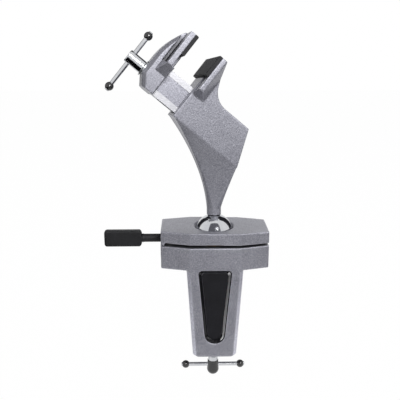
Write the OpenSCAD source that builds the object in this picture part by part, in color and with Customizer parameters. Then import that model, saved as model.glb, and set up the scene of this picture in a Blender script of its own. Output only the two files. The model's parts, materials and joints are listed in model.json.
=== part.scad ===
// Ball-joint bench vise on a table clamp.
// A swivelling vise head stands on a chromed ball. A split block grips the ball, and a side lever locks it.
// The block carries a C-shaped table clamp with a screw from below.
// Origin: on the ball's upright axis, at the flat underside of the block, which rests on the table top.
// X runs along the block's length, Y away from the viewer over the table, Z up.
// In the jaw frame, u runs along the spindle towards its handle, v up towards the jaw tips, w across the jaws.

/* [Split block] */
// Length of the block, side to side
block_w = 84.5; // [78:0.5:96]
// Depth of the block, front to back
block_d = 47; // [44:0.5:56]
// Width of the block's front and back faces
facet_w = 39; // [36:0.5:44]
// Depth of the block's two end faces
end_d = 34; // [30:0.5:40]
// Height of the lower half of the block
base_h = 18.3; // [17:0.05:24]
// Height of the slit between the two halves, at the lever's end
slit_h = 2.8; // [1.8:0.1:3.2]
// Slope of the clamped cap, down towards the end without the lever
cap_tilt = 0.7; // [0:0.1:1]
// Thickness of the upper half, the socket cap
cap_h = 9.35; // [8.5:0.05:13]
// Height that the raised land round the lever window stands out of the end face
window_land = 0.4; // [0.2:0.1:1]

/* [Ball joint] */
// Radius of the ball
ball_r = 15; // [14:0.1:15.6]
// Depth of the ball's centre below the cap's top face
ball_sink = 5.5; // [5:0.1:7]
// Gap between the ball and its seats
ball_gap = 0.1; // [0.06:0.01:0.15]
// Radius of the countersunk rim round the ball
rim_r = 16.7; // [15.6:0.1:18]
// Depth of the countersink
rim_h = 1.9; // [1:0.1:2.6]
// Outer radius of the lower ball seat
cup_r = 17; // [16.4:0.1:17.6]
// Thickness of the lower seat under the ball
cup_base = 4.3; // [2.5:0.1:5.5]
// Radius of the stud that joins the ball to the arm
stud_r = 3; // [2.5:0.1:3.6]
// Height of the stud's end above the ball's centre
stud_top = 31; // [27:0.5:35]

/* [Column and throat] */
// Width of the column's front face at its foot
col_foot_w = 29.5; // [28:0.5:36]
// Thickness of the column, front to back
col_t = 15; // [12:0.5:17]
// Width of the sloping edges beside the column's front face
col_edge_w = 2.8; // [1:0.1:4]
// Depth of those sloping edges, front to back
col_edge_d = 3.4; // [1:0.1:5]
// Height of the sloping edge at the column's foot
col_edge_h = 1.6; // [0.5:0.1:3]
// Height of the throat that takes the table edge
throat_h = 61; // [56:0.5:75]
// Thickness of the lower arm that carries the screw
low_arm_t = 14; // [11:0.5:18]
// Distance from the front face to the clamp screw's axis
screw_reach = 30.5; // [30:0.5:36]
// Radius of the round end of the lower arm
low_arm_r = 13; // [10:0.5:15]

/* [Blank name plate] */
// Half width of the plate's recess at its top
label_w = 12.9; // [10:0.1:13.5]
// Radius of the recess's round lower end
label_r = 8.1; // [6:0.1:9]
// Radius of the recess's upper corners
label_corner = 2.4; // [0.8:0.1:3]
// Distance from the recess's top edge to the centre of its round end
label_l = 53.9; // [45:0.1:58]
// Distance from the block's underside to the recess's top edge
label_top = 0.5; // [0.5:0.1:3]
// Depth of the recess
label_depth = 3.6; // [2:0.1:5]
// Width of the bezel's sloping inner wall
bezel_w = 2.6; // [1.5:0.1:4]
// Width of the bezel's flat outer edge
bezel_edge = 0.2; // [0.1:0.1:0.6]
// Thickness of the plate
plate_t = 0.7; // [0.5:0.1:1.2]

/* [Clamp lever] */
// Share of the room beside the ball seat, from the seat out to the clamp bolt's axis
bolt_share = 0.494; // [0.48:0.002:0.51]
// Radius of the clamp bolt
bolt_r = 3.95; // [3:0.05:4.2]
// Radius of the clamp bolt's head
bolt_head_r = 6.5; // [5.5:0.1:7.4]
// Height of the clamp bolt's head
bolt_head_h = 5; // [3.5:0.1:6]
// Share of the same room that is the radius of the lever's hub
hub_share = 0.337; // [0.3:0.001:0.345]
// Height of the lever's hub
hub_h = 9.4; // [8:0.1:10.4]
// Radius of the steel rod of the lever
rod_r = 2.5; // [2:0.1:2.8]
// Radius of the plastic sleeve on the rod
sleeve_r = 3.3; // [3:0.1:3.7]
// Distance from the end face to the grip's near end
grip_out = 15.65; // [14:0.05:25]
// Length of the grip
grip_l = 30; // [24:0.5:45]
// Height of the grip
grip_h = 13.2; // [9:0.1:16]
// Thickness of the grip
grip_t = 6.6; // [6.2:0.1:9]
// Corner radius of the grip
grip_corner = 2; // [1:0.1:4]
// Half width of the lever's window
window_half = 10.2; // [9.9:0.1:11]

/* [Cap screws] */
// Share of the same room, from the ball seat out to the cap screws
cap_screw_share = 0.513; // [0.49:0.001:0.53]
// Distance between the two cap screws
cap_screw_pitch = 19; // [16:0.5:21]
// Radius of a cap screw's shank
cap_screw_r = 2.5; // [2:0.1:3]
// Radius of a cap screw's head
cap_screw_head_r = 4.25; // [3.8:0.05:4.6]
// Height of a cap screw's head
cap_screw_head_h = 5; // [3:0.1:6]
// Radius of the land that carries the cap round each screw
cap_land_r = 5.8; // [5:0.1:6.4]

/* [Clamp screw] */
// Radius over the clamp screw's thread
screw_r = 4.95; // [4:0.05:5.4]
// Height from the lower arm's underside down to the screw's head at rest
screw_out = 15; // [12:0.5:20]
// Length of the screw's head
screw_head_l = 17.2; // [15:0.1:20]
// Radius of the head's upper, bright part
screw_collar_r = 4.2; // [3.9:0.05:4.6]
// Radius of the head's round lower end
screw_head_r = 5.1; // [4.6:0.05:5.3]
// Radius of the black part at its upper end
screw_waist_r = 4.6; // [4.2:0.05:5]
// Length of the head's bright part
screw_collar_l = 3.6; // [3:0.1:6]
// Height from the head's bright face down to the cross hole
screw_bar_drop = 8; // [7.5:0.1:10]
// Gap between the seat and the foot pad at rest
table_gap = 25; // [22:0.5:28]
// Radius of the pressure foot
foot_r = 12; // [9:0.5:14]
// Thickness of the pressure foot's flange
foot_flange_t = 4; // [3:0.1:5]
// Radius of the pressure foot's hub
foot_hub_r = 7; // [6:0.1:8]
// Height of the pressure foot's hub below the flange
foot_hub_h = 6; // [5.2:0.1:8]
// Thickness of the soft pad on the foot
foot_pad_t = 2; // [1:0.1:3]
// Radius of the screw's ball end
screw_ball_r = 4; // [3.4:0.1:4.4]
// Radius of the neck under the screw's ball end
screw_neck_r = 2.8; // [2:0.1:3]

/* [Tommy bars] */
// Radius of a tommy bar
bar_r = 1.75; // [1.4:0.05:2]
// Distance between the centres of a bar's two knobs
bar_span = 47; // [40:0.5:60]
// Radius of a bar's knob
knob_r = 3.3; // [2.8:0.1:4.5]
// Length of a bar's end that stands out of its knob
bar_nub = 0.5; // [0.2:0.1:1]
// Place of the spindle's bar along its hole, off centre towards the lower knob
bar_offset = 3.05; // [0:0.05:8]

/* [Head at rest] */
// Turn of the head about the upright axis
head_yaw = 9.7; // [0:0.1:20]
// Lean of the head away from the viewer
head_lean = 4.6; // [0:0.1:10]
// Slope of the spindle above the level
jaw_pitch = 40; // [37:0.5:43]

/* [Arm] */
// Distance along u from the ball's centre to the arm's front face
arm_front = 85.6; // [82:0.1:90]
// Height along v from the ball's centre to the spindle's axis
spindle_v = 64.9; // [62:0.1:68]
// Width of the arm's body and of the movable jaw's body
body_w = 30; // [27:0.5:34]
// Thickness of the arm over the slide
arm_roof = 2.45; // [2:0.05:4]
// Thickness of the arm under the slide, down to its lower edge line
arm_floor = 3.05; // [2.5:0.05:4]
// Length along u of the flat top behind the jaw, from the back corner to the sweep
back_flat = 23.7; // [20:0.1:26]
// Distance along u from the front face to the arm's upper back corner
arm_back = 51.9; // [48:0.1:54]
// Run along u of the sloping back edge
back_slope = 11.8; // [8:0.1:14]
// Radius of the sweep from the flat top up to the jaw
sweep_r = 15.7; // [12:0.1:18]
// Radius of the round neck
neck_r = 5.7; // [5:0.1:6.5]
// Height of the neck's upper end above the ball's centre
neck_top = 20.5; // [18:0.5:23]
// Depth of the channel down the stem's front
channel_d = 1.5; // [0.5:0.1:2.2]
// Radius of the stem's long edges at its top
stem_edge = 1.2; // [0.6:0.1:2.5]

/* [Jaws] */
// Width of the jaw plates and their pads
jaw_w = 50; // [45:0.5:56]
// Height of a pad
pad_h = 17.5; // [14:0.5:20]
// Thickness of a pad
pad_t = 2.9; // [2.2:0.1:4]
// Chamfer round a pad's face
pad_bevel = 0.5; // [0.2:0.1:1]
// Thickness of a jaw plate behind its pad
plate_u = 4.1; // [3.4:0.1:5]
// Height from the slide's top to the pads
pad_rise = 10.95; // [8:0.05:13]
// Gap between the pads at rest
jaw_gap = 19.6; // [12:0.1:24]
// Depth of the pad's seat in the fixed jaw
fixed_step = 1.2; // [0.8:0.1:2]
// Depth of the pad's seat in the movable jaw
moving_step = 2.6; // [2:0.1:2.8]
// Run along u of the fixed jaw's side gusset
gusset_u = 5.8; // [4:0.1:8]
// Rise of the gussets under the plates' ends
gusset_v = 4; // [2:0.1:6]
// Radius of a pad's peg
peg_r = 2; // [1.5:0.1:2.4]
// Length of a pad's peg
peg_l = 2.4; // [1.5:0.1:3]
// Distance between a pad's two pegs
peg_pitch = 36; // [33:0.5:40]

/* [Movable jaw and slide] */
// Width of the slide
slide_w = 14; // [13:0.1:16]
// Height of the slide
slide_h = 23.1; // [21:0.1:25]
// Length of the slide inside the arm at rest
slide_in = 37.6; // [33:0.1:39]
// Height of each bright rail on the slide's sides
rail_h = 4.5; // [3:0.1:6]
// Depth of the painted field between the rails
rail_step = 0.35; // [0.2:0.05:0.6]
// Half width of the slide's inner channel
channel_half = 5.35; // [5:0.05:5.6]
// Thickness of the movable jaw's body along u
jaw_body_t = 15.6; // [13:0.1:20]
// Radius of the arc over the movable jaw's back
jaw_arc_r = 56; // [48:1:70]
// Height from the spindle's axis to the level where that arc starts
arc_rise = 11.1; // [8:0.1:14]
// Thickness of the web between the two side ribs
web_t = 12; // [9:0.5:16]
// Width along u of the slot between a rib and the plate
rib_slot = 3.1; // [2:0.1:4]
// Run along u of the corner cut off the jaw's lower back
corner_u = 6; // [3:0.1:8]
// Rise along v of the corner cut off the jaw's lower back
corner_v = 8.5; // [4:0.1:9]
// Rise of the sloping face under the movable plate's ends
moving_gusset_v = 8.3; // [4:0.1:9]
// Run along u of the slope round the movable jaw's back and side faces
jaw_slope_u = 2.4; // [1:0.1:4]
// Width of that slope across the jaw
jaw_slope_w = 5; // [2:0.1:8]

/* [Spindle] */
// Radius over the spindle's thread
spindle_r = 4; // [3.4:0.05:4.3]
// Radius of the spindle's head
spindle_head_r = 5.1; // [4.8:0.1:6]
// Length of the spindle's head
spindle_head_l = 14.45; // [12:0.05:18]
// Distance from the head's end to its cross hole
spindle_bar_in = 3.5; // [3:0.1:5]
// Length of the nut
nut_l = 16; // [12:0.5:18]
// Distance from the arm's front face back to the nut
nut_in = 5.6; // [4:0.1:8]
// Radius of the nut's round foot
nut_foot_r = 3.2; // [2.5:0.1:3.5]
// Depth of the nut's foot in the arm's floor
nut_foot_in = 3.8; // [2:0.1:4.2]
// Thickness of the thrust washer
thrust_t = 0.8; // [0.5:0.1:1.5]
// Radius of the thrust washer
thrust_r = 6.4; // [5.6:0.1:7.5]
// Thickness of the retaining ring
ring_t = 1; // [0.7:0.1:1.4]
// Depth of the retaining ring's groove
ring_groove = 0.8; // [0.5:0.1:1]

/* [Hidden] */
$fn = 96;
paint = [0.54, 0.54, 0.58];

// Overrun of every cut
cut = 1;
// Radial gap of a shaft that turns or slides in its hole
run_gap = 0.06;
// Gap between a pressed or glued piece and its seat
fit_gap = 0.02;
// Gap on each side of the slide in the arm
slide_gap = 0.12;
// Gap round moving pieces that don't guide each other
free_gap = 0.35;
// Depth that joined solids of one casting reach into each other
weld = 0.4;

// Room along the block between the ball seat and an end face, which the bolt and the screws share
room = block_w / 2 - cup_r - run_gap;
bolt_x = cup_r + run_gap + room * bolt_share;
hub_r = room * hub_share;
cap_screw_x = cup_r + run_gap + room * cap_screw_share;

// Levels of the block, from its underside up
cap_z = base_h + slit_h;
// Drop of the tilted cap at the ball and at the cap screws
ball_drop = block_w / 2 * sin(cap_tilt);
land_drop = (block_w / 2 + cap_screw_x + cap_land_r) * sin(cap_tilt);
top_z = cap_z + cap_h - ball_drop;
ball_z = top_z - ball_sink;
cup_z = ball_z - ball_r - ball_gap - cup_base;
// Drop of the cup's rim below the slit
cup_drop = 0.35;
slit_mid = base_h + slit_h / 2;

front_y = -block_d / 2;
screw_y = front_y + screw_reach;
arm_top_z = -throat_h;
arm_low_z = -throat_h - low_arm_t;

// Clamp bolt, its head sunk in the underside
bolt_recess = 0.8;
washer_t = 1.2;
bolt_cover = 2.4;
bolt_seat_z = bolt_recess + bolt_head_h + washer_t;
hub_z = slit_mid - hub_h / 2;
bolt_top_z = top_z - bolt_cover - free_gap;
socket_share = 0.55;
socket_depth_share = 0.6;
grub_r = 2;
grub_len_share = 0.85;
grip_near_x = -block_w / 2 - grip_out;
grip_core = 6;
sleeve_in = 2;

// Jaw frame: places along u, counted from the ball's centre
seat_u = arm_front - fixed_step;
pad_u = seat_u + pad_t;
moving_pad_u = pad_u + jaw_gap;
moving_seat_u = moving_pad_u + pad_t;
shoulder_u = moving_seat_u - moving_step;
jaw_back_u = shoulder_u + jaw_body_t;
slide_end_u = arm_front - slide_in;
nut_u = arm_front - nut_in - nut_l;
head_u = jaw_back_u + thrust_t + run_gap;
spindle_end_u = head_u + spindle_head_l;
bar_u = spindle_end_u - spindle_bar_in;
// Front wall of the slide's channel, which the retaining ring faces
channel_wall = 4.2;
channel_u = shoulder_u - channel_wall;
back_u = arm_front - arm_back;

// Jaw frame: places along v
slide_v = spindle_v - slide_h / 2;
slide_top_v = slide_v + slide_h;
crease_v = slide_v - slide_gap - arm_floor;
arm_top_v = slide_top_v + slide_gap + arm_roof;
pad_v = slide_top_v + pad_rise;
tip_v = pad_v + pad_h;
plate_v = slide_top_v + free_gap;
// Walls of the slide's channel under and over the spindle
channel_floor = 3.7;
channel_roof = 3.5;
// Gap between a pad's lower edge and its shoulder
pad_ledge = 0.3;

// Unit vector along the sloping back of the fixed jaw, from the sweep to the tip
jaw_back_angle = 65;
// Thickness of the fixed jaw at its tip
tip_t = 4.7;
tip_u = seat_u - tip_t;
// Where that sloping line would meet the flat top
sweep_corner_u = tip_u - (tip_v - arm_top_v) / tan(jaw_back_angle);
sweep_run = sweep_r * tan(jaw_back_angle / 2);

// Turns a shape drawn with X as u, Y as w and Z as v into its place on the ball
module in_head() {
    translate([0, 0, ball_z]) rotate([0, 0, head_yaw]) rotate([-head_lean, 0, 0]) children();
}
module in_jaw() {
    in_head() rotate([0, -jaw_pitch, 180]) children();
}
// Extrudes an outline drawn in u and v across the jaws, centred
module across(thickness) {
    rotate([90, 0, 0]) linear_extrude(height = thickness, center = true) children();
}
// Extrudes an outline drawn in w and v along u, from one place to another
module along_u(from_u, to_u) {
    translate([from_u, 0, 0]) rotate([90, 0, 90]) linear_extrude(height = to_u - from_u) children();
}
// Rod along u on the spindle's axis
module u_rod(from_u, to_u, radius) {
    translate([from_u, 0, spindle_v]) rotate([0, 90, 0]) cylinder(r = radius, h = to_u - from_u);
}
module uv_rect(u0, u1, v0, v1) {
    translate([u0, v0]) square([u1 - u0, v1 - v0]);
}
module rounded_rect(length, height, corner) {
    translate([0, corner]) square([length, height - 2 * corner]);
    translate([corner, 0]) square([length - 2 * corner, height]);
    for (x = [corner, length - corner], y = [corner, height - corner]) translate([x, y]) circle(r = corner);
}

// Plan of the block: a long octagon
module block_plan() {
    w = block_w / 2;
    f = facet_w / 2;
    d = block_d / 2;
    e = end_d / 2;
    polygon([[-w, -e], [-f, -d], [f, -d], [w, -e], [w, e], [f, d], [-f, d], [-w, e]]);
}
// Slab in the name plate's outline, from one depth behind the column's front to another, drawn smaller by inset
module label_slab(inset, depth0, depth1) {
    lean = atan((label_w - label_r) / label_l);
    r = label_r - inset;
    w = label_w - inset;
    c = label_corner;
    side = [r * cos(lean) - fit_gap, -label_l - r * sin(lean)];
    thickness = depth1 - depth0;
    translate([0, front_y + depth1, -label_top]) rotate([90, 0, 0]) {
        translate([0, -label_l, 0]) cylinder(r = r, h = thickness);
        for (x = [c - w, w - c]) translate([x, -inset - c, 0]) cylinder(r = c, h = thickness);
        linear_extrude(height = thickness)
            polygon([[c - w, -inset], [w - c, -inset], [w - fit_gap, -inset - c], side,
                     [-side[0], side[1]], [fit_gap - w, -inset - c]]);
    }
}
// Deep slab over the block's right part, from one level up to another, turned down by the cap's slope
module tilted_slab(from_x, low, high) {
    translate([-block_w / 2, 0, cap_z]) rotate([0, cap_tilt, 0]) translate([from_x, -block_d, low - cap_z])
        cube([2 * block_w, 2 * block_d, high - low]);
}
// The lever's swing space inside the block: a round pocket and a window through the end face
module lever_space() {
    translate([-bolt_x, 0, hub_z - free_gap]) cylinder(r = hub_r + free_gap, h = hub_h + 2 * free_gap);
    window_z = sleeve_r + free_gap;
    translate([-block_w / 2 - window_land - cut, -window_half, slit_mid - window_z])
        cube([block_w / 2 + window_land + cut - bolt_x, 2 * window_half, 2 * window_z]);
}
module at_cap_screws() {
    for (side = [-1, 1]) translate([cap_screw_x, side * cap_screw_pitch / 2, 0]) children();
}

// Section of the column at one level: a flat front with a sloping edge on each side, drawn smaller by inset
module column_plan(front_w, inset) {
    half = front_w / 2 - inset;
    side = half + col_edge_w;
    front = front_y + inset;
    back = front_y + col_t;
    polygon([[-half, front], [half, front], [side, front + col_edge_d], [side, back],
             [-side, back], [-side, front + col_edge_d]]);
}
module column() {
    hull() {
        translate([0, 0, -weld]) linear_extrude(height = 2 * weld) column_plan(facet_w, 0);
        translate([0, 0, arm_low_z + col_edge_h]) linear_extrude(height = weld) column_plan(col_foot_w, 0);
        translate([0, 0, arm_low_z]) linear_extrude(height = weld) column_plan(col_foot_w, col_edge_h);
    }
}
module lower_arm() {
    translate([0, 0, arm_low_z]) linear_extrude(height = low_arm_t) {
        translate([0, screw_y]) circle(r = low_arm_r);
        polygon([[-low_arm_r, front_y + col_t / 2], [low_arm_r, front_y + col_t / 2],
                 [low_arm_r, screw_y], [-low_arm_r, screw_y]]);
    }
}
module window_frame() {
    land_h = base_h * 0.6;
    land_share = 1.2;
    half = window_half * land_share;
    translate([-block_w / 2 - window_land, -half, base_h - land_h])
        cube([window_land + weld, 2 * half, land_h]);
}
module clamp_frame() {
    color(paint) difference() {
        union() {
            linear_extrude(height = base_h) block_plan();
            at_cap_screws() cylinder(r = cap_land_r, h = cap_z - land_drop);
            window_frame();
            column();
            lower_arm();
        }
        translate([0, 0, cup_z]) cylinder(r = cup_r + run_gap, h = top_z);
        lever_space();
        translate([-bolt_x, 0, -cut]) cylinder(r = bolt_r + run_gap, h = base_h + 2 * cut);
        translate([-bolt_x, 0, -cut]) cylinder(r = bolt_head_r + free_gap, h = bolt_seat_z + cut);
        at_cap_screws() {
            translate([0, 0, -cut]) cylinder(r = cap_screw_r + run_gap, h = cap_z + 2 * cut);
            translate([0, 0, -cut]) cylinder(r = cap_screw_head_r + free_gap, h = bolt_recess + cap_screw_head_h + cut);
        }
        translate([0, screw_y, arm_low_z - cut]) cylinder(r = screw_r + run_gap, h = low_arm_t + 2 * cut);
        label_slab(0, -cut, label_depth);
    }
}

// Upper half of the block, with the ball's spherical seat, its countersunk rim and a lip at the lever's end
module socket_cap() {
    lip_w = 3;
    lip_gap = 0.6;
    lip_half = window_half + free_gap;
    seat_top = ball_sink - rim_h;
    seat_r = sqrt(pow(ball_r + ball_gap, 2) - pow(seat_top, 2));
    slope = (rim_r - seat_r) / rim_h;
    thread_h = top_z - bolt_cover - base_h;
    color(paint) difference() {
        translate([0, 0, base_h + lip_gap]) linear_extrude(height = cap_h + slit_h) block_plan();
        tilted_slab(-block_w, cap_z + cap_h, cap_z + 2 * cap_h);
        tilted_slab(lip_w, base_h - slit_h, cap_z);
        translate([-block_w, -lip_half, base_h]) cube([block_w, 2 * lip_half, slit_h - lip_gap / 2]);
        translate([0, 0, ball_z]) sphere(r = ball_r + ball_gap);
        translate([0, 0, top_z - rim_h]) cylinder(r1 = seat_r, r2 = rim_r + slope * cut, h = rim_h + cut);
        lever_space();
        translate([-bolt_x, 0, base_h]) cylinder(r = bolt_r + run_gap, h = thread_h);
        at_cap_screws() translate([0, 0, base_h]) cylinder(r = cap_screw_r + fit_gap, h = thread_h);
    }
}
// A screw seen from below: shank up, head down with a hexagon socket
module socket_screw(head_z, head_r, head_h, shank_r, top) {
    difference() {
        union() {
            translate([0, 0, head_z]) cylinder(r = head_r, h = head_h);
            translate([0, 0, head_z]) cylinder(r = shank_r, h = top - head_z);
        }
        depth = head_h * socket_depth_share;
        translate([0, 0, head_z - cut]) cylinder(r = head_r * socket_share, h = depth + cut, $fn = 6);
    }
}
module cap_screws() {
    color("dimgray") at_cap_screws()
        socket_screw(bolt_recess, cap_screw_head_r, cap_screw_head_h, cap_screw_r, top_z - bolt_cover - free_gap);
}
module bolt_washer() {
    color("silver") translate([-bolt_x, 0, bolt_seat_z - washer_t]) difference() {
        cylinder(r = bolt_head_r, h = washer_t);
        translate([0, 0, -cut]) cylinder(r = bolt_r + run_gap, h = washer_t + 2 * cut);
    }
}
// Bright bezel whose inner wall slopes in to the plate, and the blank plate at its bottom
module plate_bezel() {
    color("gainsboro") difference() {
        label_slab(fit_gap, 0, label_depth);
        hull() {
            label_slab(bezel_edge, -weld, 0);
            label_slab(bezel_w, label_depth - weld, label_depth + weld);
        }
    }
}
module name_plate() {
    color("black") label_slab(bezel_w + fit_gap, label_depth - plate_t, label_depth);
}

// The lever turns the clamp bolt, whose thread pulls the cap down on the ball
module clamp_bolt() {
    color("dimgray") translate([-bolt_x, 0, 0])
        socket_screw(bolt_recess, bolt_head_r - fit_gap, bolt_head_h - run_gap, bolt_r, bolt_top_z);
}
module lever_hub() {
    color("silver") translate([-bolt_x, 0, 0]) difference() {
        translate([0, 0, hub_z]) cylinder(r = hub_r, h = hub_h);
        translate([0, 0, hub_z - cut]) cylinder(r = bolt_r + fit_gap, h = hub_h + 2 * cut);
        translate([0, 0, slit_mid]) rotate([0, -90, 0]) cylinder(r = rod_r + fit_gap, h = hub_r + cut);
        translate([0, 0, slit_mid]) rotate([0, 90, 0]) cylinder(r = grub_r + fit_gap, h = hub_r + cut);
    }
}
module hub_grub_screw() {
    grub_l = (hub_r - bolt_r) * grub_len_share;
    color("dimgray") translate([-bolt_x + bolt_r + fit_gap, 0, slit_mid]) rotate([0, 90, 0]) difference() {
        cylinder(r = grub_r, h = grub_l);
        translate([0, 0, grub_l * (1 - socket_share)]) cylinder(r = grub_r * socket_share, h = grub_l, $fn = 6);
    }
}
module lever_rod() {
    near = bolt_x + bolt_r + 2 * fit_gap;
    far = -grip_near_x + grip_l - grip_core;
    color("silver") translate([-near, 0, slit_mid]) rotate([0, -90, 0]) cylinder(r = rod_r, h = far - near);
}
module lever_grip() {
    color([0.14, 0.14, 0.17]) difference() {
        union() {
            translate([grip_near_x - grip_l, grip_t / 2, slit_mid - grip_h / 2]) rotate([90, 0, 0])
                linear_extrude(height = grip_t) rounded_rect(grip_l, grip_h, grip_corner);
            translate([grip_near_x - grip_corner, 0, slit_mid]) rotate([0, 90, 0])
                cylinder(r = sleeve_r, h = grip_out + sleeve_in + grip_corner);
        }
        translate([grip_near_x - grip_l + grip_core - fit_gap, 0, slit_mid]) rotate([0, 90, 0])
            cylinder(r = rod_r + fit_gap, h = grip_l + grip_out + cut + sleeve_in);
    }
}

// Lower seat of the ball, a loose turned cup
module ball_cup() {
    color("darkgoldenrod") difference() {
        translate([0, 0, cup_z]) cylinder(r = cup_r, h = base_h - cup_drop - cup_z);
        translate([0, 0, ball_z]) sphere(r = ball_r + ball_gap);
        translate([0, 0, cup_z - cut]) cylinder(r = stud_r, h = cup_base + 2 * cut);
    }
}
module ball_stud() {
    color("gainsboro") in_head() {
        sphere(r = ball_r);
        cylinder(r = stud_r, h = stud_top);
    }
}

// Stem of the arm: sections run from the round neck up to the sloping lower edge of the arm's body.
// Each section is a rounded quadrangle in a plane across the stem. Its front edge has a shallow channel.
// Shares of the way up
stem_steps = 18;
stem_corner_steps = 5;
front_share_pow = 1.7;
back_share_pow = 1.2;
front_width_share_pow = 3.5;
edge_share_pow = 0.6;
channel_width_share = 0.3;
function jaw_to_head(u, v) = [sin(jaw_pitch) * v - cos(jaw_pitch) * u, sin(jaw_pitch) * u + cos(jaw_pitch) * v];
// Small step where the stem meets the arm's body and the neck
stem_step = 0.12;
stem_foot_r = neck_r + stem_step;
stem_half_top = body_w / 2 - stem_step;
stem_front_top = jaw_to_head(arm_front - stem_step, crease_v + weld);
stem_back_top = jaw_to_head(back_u - back_slope + weld, crease_v + weld);
function stem_front(s) = [-stem_foot_r + (stem_front_top[0] + stem_foot_r) * pow(s, front_share_pow),
                          neck_top + (stem_front_top[1] - neck_top) * s];
function stem_back(s) = [stem_foot_r + (stem_back_top[0] - stem_foot_r) * pow(s, back_share_pow),
                         neck_top + (stem_back_top[1] - neck_top) * s];
function stem_ring(s) = let (
    f = stem_front(s),
    b = stem_back(s),
    length = norm(b - f),
    dir = (b - f) / length,
    front_half = stem_foot_r + (stem_half_top - stem_foot_r) * pow(s, front_width_share_pow),
    back_half = stem_foot_r + (stem_half_top - stem_foot_r) * s,
    r = stem_foot_r + (stem_edge - stem_foot_r) * pow(s, edge_share_pow),
    dip = min(channel_d, channel_width_share * (front_half - r)),
    n = stem_corner_steps,
    flat = [
        for (i = [0:n]) let (a = 90 * i / n) [r - r * cos(a), front_half - r + r * sin(a)],
        for (i = [0:n]) let (a = 90 * i / n) [length - r + r * sin(a), back_half - r + r * cos(a)],
        for (i = [0:n]) let (a = 90 * i / n) [length - r + r * cos(a), r - back_half - r * sin(a)],
        for (i = [0:n]) let (a = 90 * i / n) [r - r * sin(a), r - front_half - r * cos(a)],
        for (k = [-1:1]) let (y = k * (front_half - r) / 2) [dip * (1 - abs(k) / 4), y]
    ]
) [for (q = flat) [f[0] + dir[0] * q[0], q[1], f[1] + dir[1] * q[0]]];
module stem() {
    rings = [for (i = [0:stem_steps]) stem_ring(i / stem_steps)];
    count = len(rings[0]);
    points = [for (ring = rings) each ring];
    walls = [for (i = [0:stem_steps - 1], j = [0:count - 1]) let (
        a = i * count + j,
        b = i * count + (j + 1) % count
    ) each [[a, b, b + count], [a, b + count, a + count]]];
    low_cap = [for (j = [1:count - 2]) [0, j + 1, j]];
    top = stem_steps * count;
    top_cap = [for (j = [1:count - 2]) [top, top + j, top + j + 1]];
    polyhedron(points = points, faces = concat(walls, low_cap, top_cap), convexity = 6);
}

// Side view of the arm's body and fixed jaw, in u and v
module arm_outline() {
    start = [sweep_corner_u - sweep_run, arm_top_v];
    finish = [sweep_corner_u + sweep_run * cos(jaw_back_angle), arm_top_v + sweep_run * sin(jaw_back_angle)];
    difference() {
        union() {
            polygon([[arm_front, crease_v], [arm_front, pad_v - pad_ledge], [seat_u, pad_v - pad_ledge],
                     [seat_u, tip_v], [tip_u, tip_v], finish, [sweep_corner_u, arm_top_v],
                     [back_u, arm_top_v], [back_u - back_slope, crease_v]]);
            polygon([start, finish, [sweep_corner_u, arm_top_v - weld]]);
        }
        translate([start[0], arm_top_v + sweep_r]) circle(r = sweep_r);
    }
}
// Ends of the fixed jaw plate, with gussets that slope back and down to the body's sides
module fixed_plate() {
    half = jaw_w / 2;
    root = body_w / 2 - weld;
    run = gusset_u * (half - root) / (half - body_w / 2);
    rise = gusset_v * (half - root) / (half - body_w / 2);
    intersection() {
        linear_extrude(height = 2 * tip_v) for (side = [-1, 1])
            polygon([[seat_u, side * half], [seat_u - plate_u, side * half],
                     [seat_u - plate_u - run, side * root], [seat_u, side * root]]);
        along_u(back_u, arm_front) for (side = [-1, 1])
            polygon([[side * half, plate_v], [side * half, tip_v], [side * root, tip_v], [side * root, plate_v - rise]]);
        across(2 * jaw_w) arm_outline();
    }
}
module peg_holes(face_u) {
    for (side = [-1, 1]) translate([face_u, side * peg_pitch / 2, pad_v + pad_h / 2]) rotate([0, 90, 0])
        cylinder(r = peg_r + fit_gap, h = 2 * (peg_l + free_gap), center = true);
}
module vise_arm() {
    color(paint) difference() {
        union() {
            in_jaw() {
                across(body_w) arm_outline();
                fixed_plate();
            }
            in_head() {
                stem();
                cylinder(r = neck_r, h = neck_top + weld);
            }
        }
        in_jaw() {
            across(slide_w + 2 * slide_gap)
                uv_rect(-cut, arm_front + cut, slide_v - slide_gap, slide_top_v + slide_gap);
            translate([nut_u + nut_l / 2, 0, slide_v - slide_gap - nut_foot_in - free_gap])
                cylinder(r = nut_foot_r + fit_gap, h = slide_h);
            peg_holes(seat_u);
        }
        in_head() {
            sphere(r = ball_r + free_gap);
            cylinder(r = stud_r + run_gap, h = stud_top + free_gap);
        }
    }
}
// A pad with a bevelled face and two pegs, its back at zero and its face towards +X
module pad() {
    half = jaw_w / 2;
    b = pad_bevel;
    intersection() {
        across(2 * jaw_w) polygon([[0, pad_v], [pad_t - b, pad_v], [pad_t, pad_v + b],
                                   [pad_t, tip_v - b], [pad_t - b, tip_v], [0, tip_v]]);
        linear_extrude(height = 2 * tip_v) polygon([[0, -half], [pad_t - b, -half], [pad_t, b - half],
                                                    [pad_t, half - b], [pad_t - b, half], [0, half]]);
    }
    for (side = [-1, 1]) translate([-peg_l, side * peg_pitch / 2, pad_v + pad_h / 2]) rotate([0, 90, 0])
        cylinder(r = peg_r, h = peg_l + b);
}
module fixed_jaw_pad() {
    color([0.2, 0.2, 0.21]) in_jaw() translate([seat_u, 0, 0]) pad();
}
module movable_jaw_pad() {
    color([0.2, 0.2, 0.21]) in_jaw() translate([moving_seat_u, 0, 0]) mirror([1, 0, 0]) pad();
}
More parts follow.
